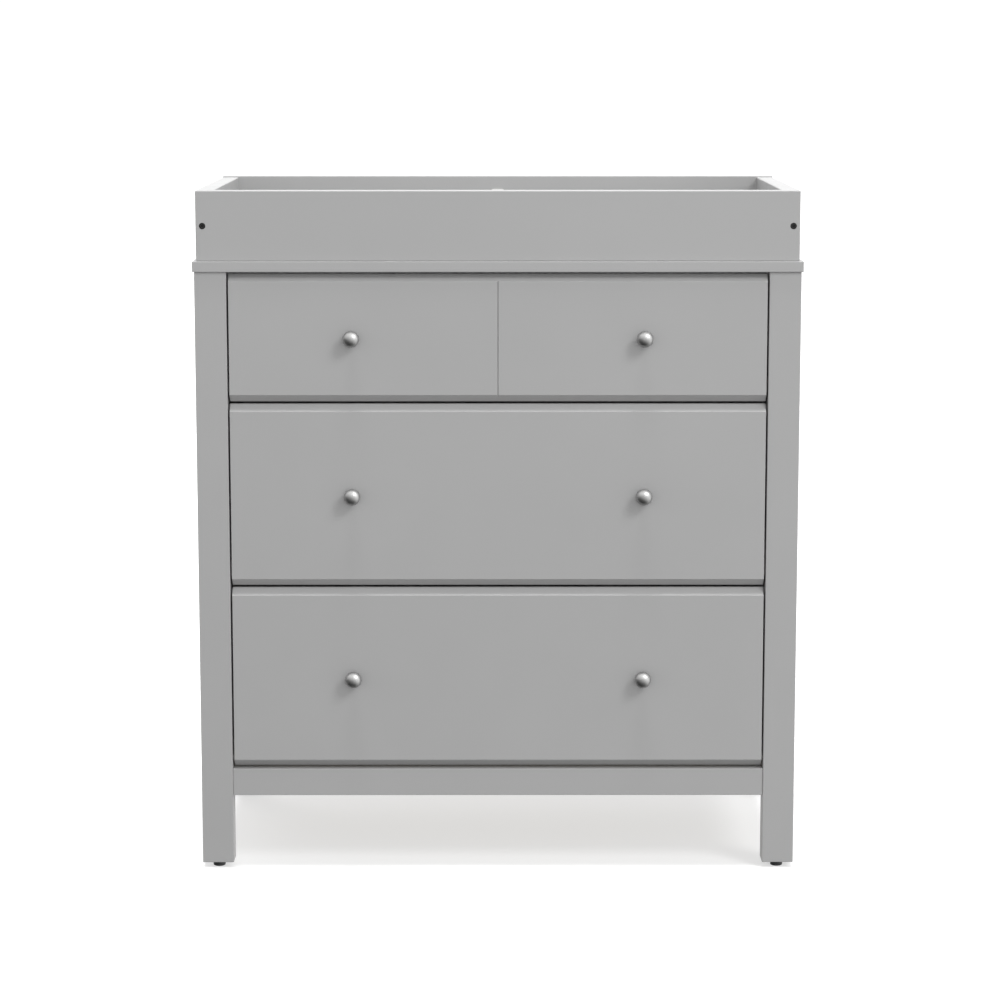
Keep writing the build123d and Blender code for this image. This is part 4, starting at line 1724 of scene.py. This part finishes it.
# ------------------------------------------------------------------------------ studio
@dataclass(frozen=True)
class Studio:
    """The pale floor, the soft light and the camera.

    Attributes:
        floor_half: half of the floor's width.
        floor_colour: the floor's colour.
        floor_glow: light that the floor gives off, so that it stays pale away from the lamps.
        backdrop: level of the white behind the object.
        sky_light: (height, level) pairs of the sky that lights surfaces: 0 is straight down, 0.5 the
            horizon and 1 straight up.
        sky_gloss: the same for the sky that shows in gloss.
        gloss_up: unit vector along which the gloss sky's height is measured.
        overhead: strength of the light from straight above.
        overhead_angle: how wide that light is, in degrees.
        key_power: power of the key light.
        key_place: place of the key light.
        key_size: width of the key light.
        fill_power: power of the front fill.
        fill_place: place of the front fill.
        fill_size: width of both fills.
        rear_power: power of the rear fill.
        rear_place: place of the rear fill.
        aim: the point that the key light and the fills are turned to.
        lens: focal length in millimetres.
        sensor: width of the sensor in millimetres.
        clip: the nearest and furthest distance that the camera sees.
        camera_place: place of the camera.
        camera_pitch: how far the camera is tipped down, in radians.
        camera_yaw: how far it is turned to the right, in radians.
    """

    floor_half: float = 400.0
    floor_colour: Colour = (0.5, 0.5, 0.5)
    floor_glow: float = 0.55
    backdrop: float = 1.05
    sky_light: Profile = (
        (0.0, 0.42),
        (0.42, 0.5),
        (0.485, 1.05),
        (0.53, 1.05),
        (0.62, 0.75),
        (0.8, 0.45),
        (1.0, 0.35),
    )
    sky_gloss: Profile = (
        (0.0, 0.03),
        (0.22, 0.1),
        (0.3, 0.4),
        (0.375, 0.72),
        (0.5, 0.95),
        (0.65, 1.3),
        (1.0, 1.4),
    )
    gloss_up: tuple[float, float, float] = (0.47, 0.25, 0.847)
    overhead: float = 3.7
    overhead_angle: float = 22.0
    key_power: float = 205.0
    key_place: tuple[float, float, float] = (3.84, -4.32, 5.2)
    key_size: float = 2.7
    fill_power: float = 31.0
    fill_place: tuple[float, float, float] = (0.3, -4.6, 1.8)
    fill_size: float = 3.0
    rear_power: float = 60.0
    rear_place: tuple[float, float, float] = (-2.5, 4.0, 2.2)
    aim: tuple[float, float, float] = (0.0, -0.2, 0.5)
    lens: float = 106.377
    sensor: float = 36.0
    clip: tuple[float, float] = (0.1, 2000.0)
    camera_place: tuple[float, float, float] = (-0.003646, -4.425, 1.191756)
    camera_pitch: float = 0.152466
    camera_yaw: float = 0.001577

    def floor(self) -> None:
        """A flat pale floor, a grid of two by two faces, that catches shadows."""
        line = np.linspace(-self.floor_half, self.floor_half, 3)
        x, y = np.meshgrid(line, line)
        points = np.stack([x.ravel(), y.ravel(), np.zeros(x.size)], 1)
        first = np.array([0, 1, 3, 4])  # the point that each face starts from, three points to a row
        faces = first[:, None] + np.array([0, 1, 4, 3])
        mesh = bpy.data.meshes.new("studio_floor")
        mesh.from_pydata(points.tolist(), [], faces.tolist())
        ground = bpy.data.objects.new("studio_floor", mesh)
        bpy.context.scene.collection.objects.link(ground)
        bench = NodeBench("pale_floor")
        tone = bench.clouded(bench.noise(0.8), self.floor_colour, 0.99, 1.0)
        bench.join(tone, bench.shader.inputs["Base Color"])
        bench.set(
            Roughness=0.9,
            Emission_Color=(*UNTINTED, 1.0),
            Emission_Strength=self.floor_glow,
        )
        mesh.materials.append(bench.material)
        ground.visible_diffuse = False
        ground.visible_glossy = False

    def world(self) -> None:
        """A white backdrop for the eye, a soft sky that lights surfaces and one that shows in gloss."""
        world = bpy.data.worlds.new("studio_world")
        bpy.context.scene.world = world
        world.use_nodes = True
        tree = world.node_tree
        tree.nodes.clear()
        ray = tree.nodes.new("ShaderNodeLightPath")
        white = tree.nodes.new("ShaderNodeBackground")
        white.inputs["Color"].default_value = (self.backdrop,) * 3 + (1.0,)
        shader = self.sky(tree, (0.0, 0.0, 1.0), self.sky_light)
        for question, other in (
            ("Is Glossy Ray", self.sky(tree, self.gloss_up, self.sky_gloss)),
            ("Is Camera Ray", white.outputs["Background"]),
        ):
            choice = tree.nodes.new("ShaderNodeMixShader")
            tree.links.new(ray.outputs[question], choice.inputs[0])
            tree.links.new(shader, choice.inputs[1])
            tree.links.new(other, choice.inputs[2])
            shader = choice.outputs["Shader"]
        output = tree.nodes.new("ShaderNodeOutputWorld")
        tree.links.new(shader, output.inputs["Surface"])

    def sky(
        self, tree: bpy.types.NodeTree, up: Sequence[float], stops: Profile
    ) -> bpy.types.NodeSocket:
        """A grey sky whose level changes with height.

        Args:
            tree: the world's node tree.
            up: unit vector along which height is measured.
            stops: (height, level) pairs.

        Returns:
            The sky's shader.
        """
        coordinates = tree.nodes.new("ShaderNodeTexCoord")
        along = tree.nodes.new("ShaderNodeVectorMath")
        along.operation = "DOT_PRODUCT"
        along.inputs[1].default_value = up
        height = tree.nodes.new("ShaderNodeMapRange")
        height.inputs["From Min"].default_value = -1.0
        ramp = tree.nodes.new("ShaderNodeValToRGB")
        light = tree.nodes.new("ShaderNodeBackground")
        tree.links.new(coordinates.outputs["Generated"], along.inputs[0])
        tree.links.new(along.outputs["Value"], height.inputs["Value"])
        tree.links.new(height.outputs["Result"], ramp.inputs["Fac"])
        for position, _ in stops[1:-1]:
            ramp.color_ramp.elements.new(position)
        for element, (position, level) in zip(ramp.color_ramp.elements, stops):
            element.position = position
            element.color = (level, level, level, 1.0)
        tree.links.new(ramp.outputs["Color"], light.inputs["Color"])
        return light.outputs["Background"]

    def softbox(
        self, name: str, place: Sequence[float], size: float, power: float
    ) -> bpy.types.Object:
        """A round soft light that is aimed at the cabinet.

        Args:
            name: the light's name.
            place: where it stands.
            size: its width.
            power: its power in watts.

        Returns:
            The new light.
        """
        light = bpy.data.lights.new(name, "AREA")
        light.shape, light.size, light.energy = "DISK", size, power
        lamp = bpy.data.objects.new(name, light)
        lamp.location = place
        line = Vector(self.aim) - lamp.location
        lamp.rotation_euler = line.to_track_quat("-Z", "Y").to_euler()
        lamp.visible_camera = False
        bpy.context.scene.collection.objects.link(lamp)
        return lamp

    def lamps(self) -> None:
        """An overhead light, a key light at the upper right, and a dim fill in front and behind.

        The overhead light and the fills don't show in gloss.
        """
        light = bpy.data.lights.new("overhead", "SUN")
        light.energy, light.angle = self.overhead, math.radians(self.overhead_angle)
        overhead = bpy.data.objects.new("overhead", light)
        overhead.visible_glossy = False
        bpy.context.scene.collection.objects.link(overhead)
        self.softbox("key", self.key_place, self.key_size, self.key_power)
        for name, place, power in (
            ("front_fill", self.fill_place, self.fill_power),
            ("rear_fill", self.rear_place, self.rear_power),
        ):
            self.softbox(name, place, self.fill_size, power).visible_glossy = False

    def camera(self) -> None:
        """A long lens straight in front, a little above the tray and tipped down to it."""
        lens = bpy.data.cameras.new("front_view")
        lens.lens, lens.sensor_width = self.lens, self.sensor
        lens.clip_start, lens.clip_end = self.clip
        eye = bpy.data.objects.new("front_view", lens)
        eye.location = self.camera_place
        pitch, yaw = self.camera_pitch, self.camera_yaw
        level = math.cos(pitch)
        line = Vector((math.sin(yaw) * level, math.cos(yaw) * level, -math.sin(pitch)))
        eye.rotation_euler = line.to_track_quat("-Z", "Y").to_euler()
        bpy.context.scene.collection.objects.link(eye)
        bpy.context.scene.camera = eye

    def build(self) -> None:
        """Sets up the floor, the light and the camera."""
        bpy.context.scene.view_settings.view_transform = "Standard"
        self.floor()
        self.world()
        self.lamps()
        self.camera()


def main() -> None:
    """Builds the changing table, one sub-assembly after the other, and the studio round it."""
    logging.basicConfig(level=logging.INFO, format="%(name)s: %(message)s")
    shelf = Shelf()
    assemblies: list[Assembly] = [Carcass(shelf), Glides(shelf), ChangingTray(shelf)]
    for drawer in Drawer:
        name = drawer.value
        assemblies.append(DrawerUnit(shelf, f"{name}_drawer", drawer=drawer))
        assemblies.append(RollerPair(shelf, f"{name}_cabinet_wheels", node=f"{name}_cabinet_rollers"))
        assemblies.append(RollerPair(shelf, f"{name}_drawer_wheels", node=f"{name}_drawer_rollers"))
    for assembly in assemblies:
        log.info("building %s", type(assembly).__name__)
        assembly.build()
    Studio().build()


if __name__ == "__main__":
    main()
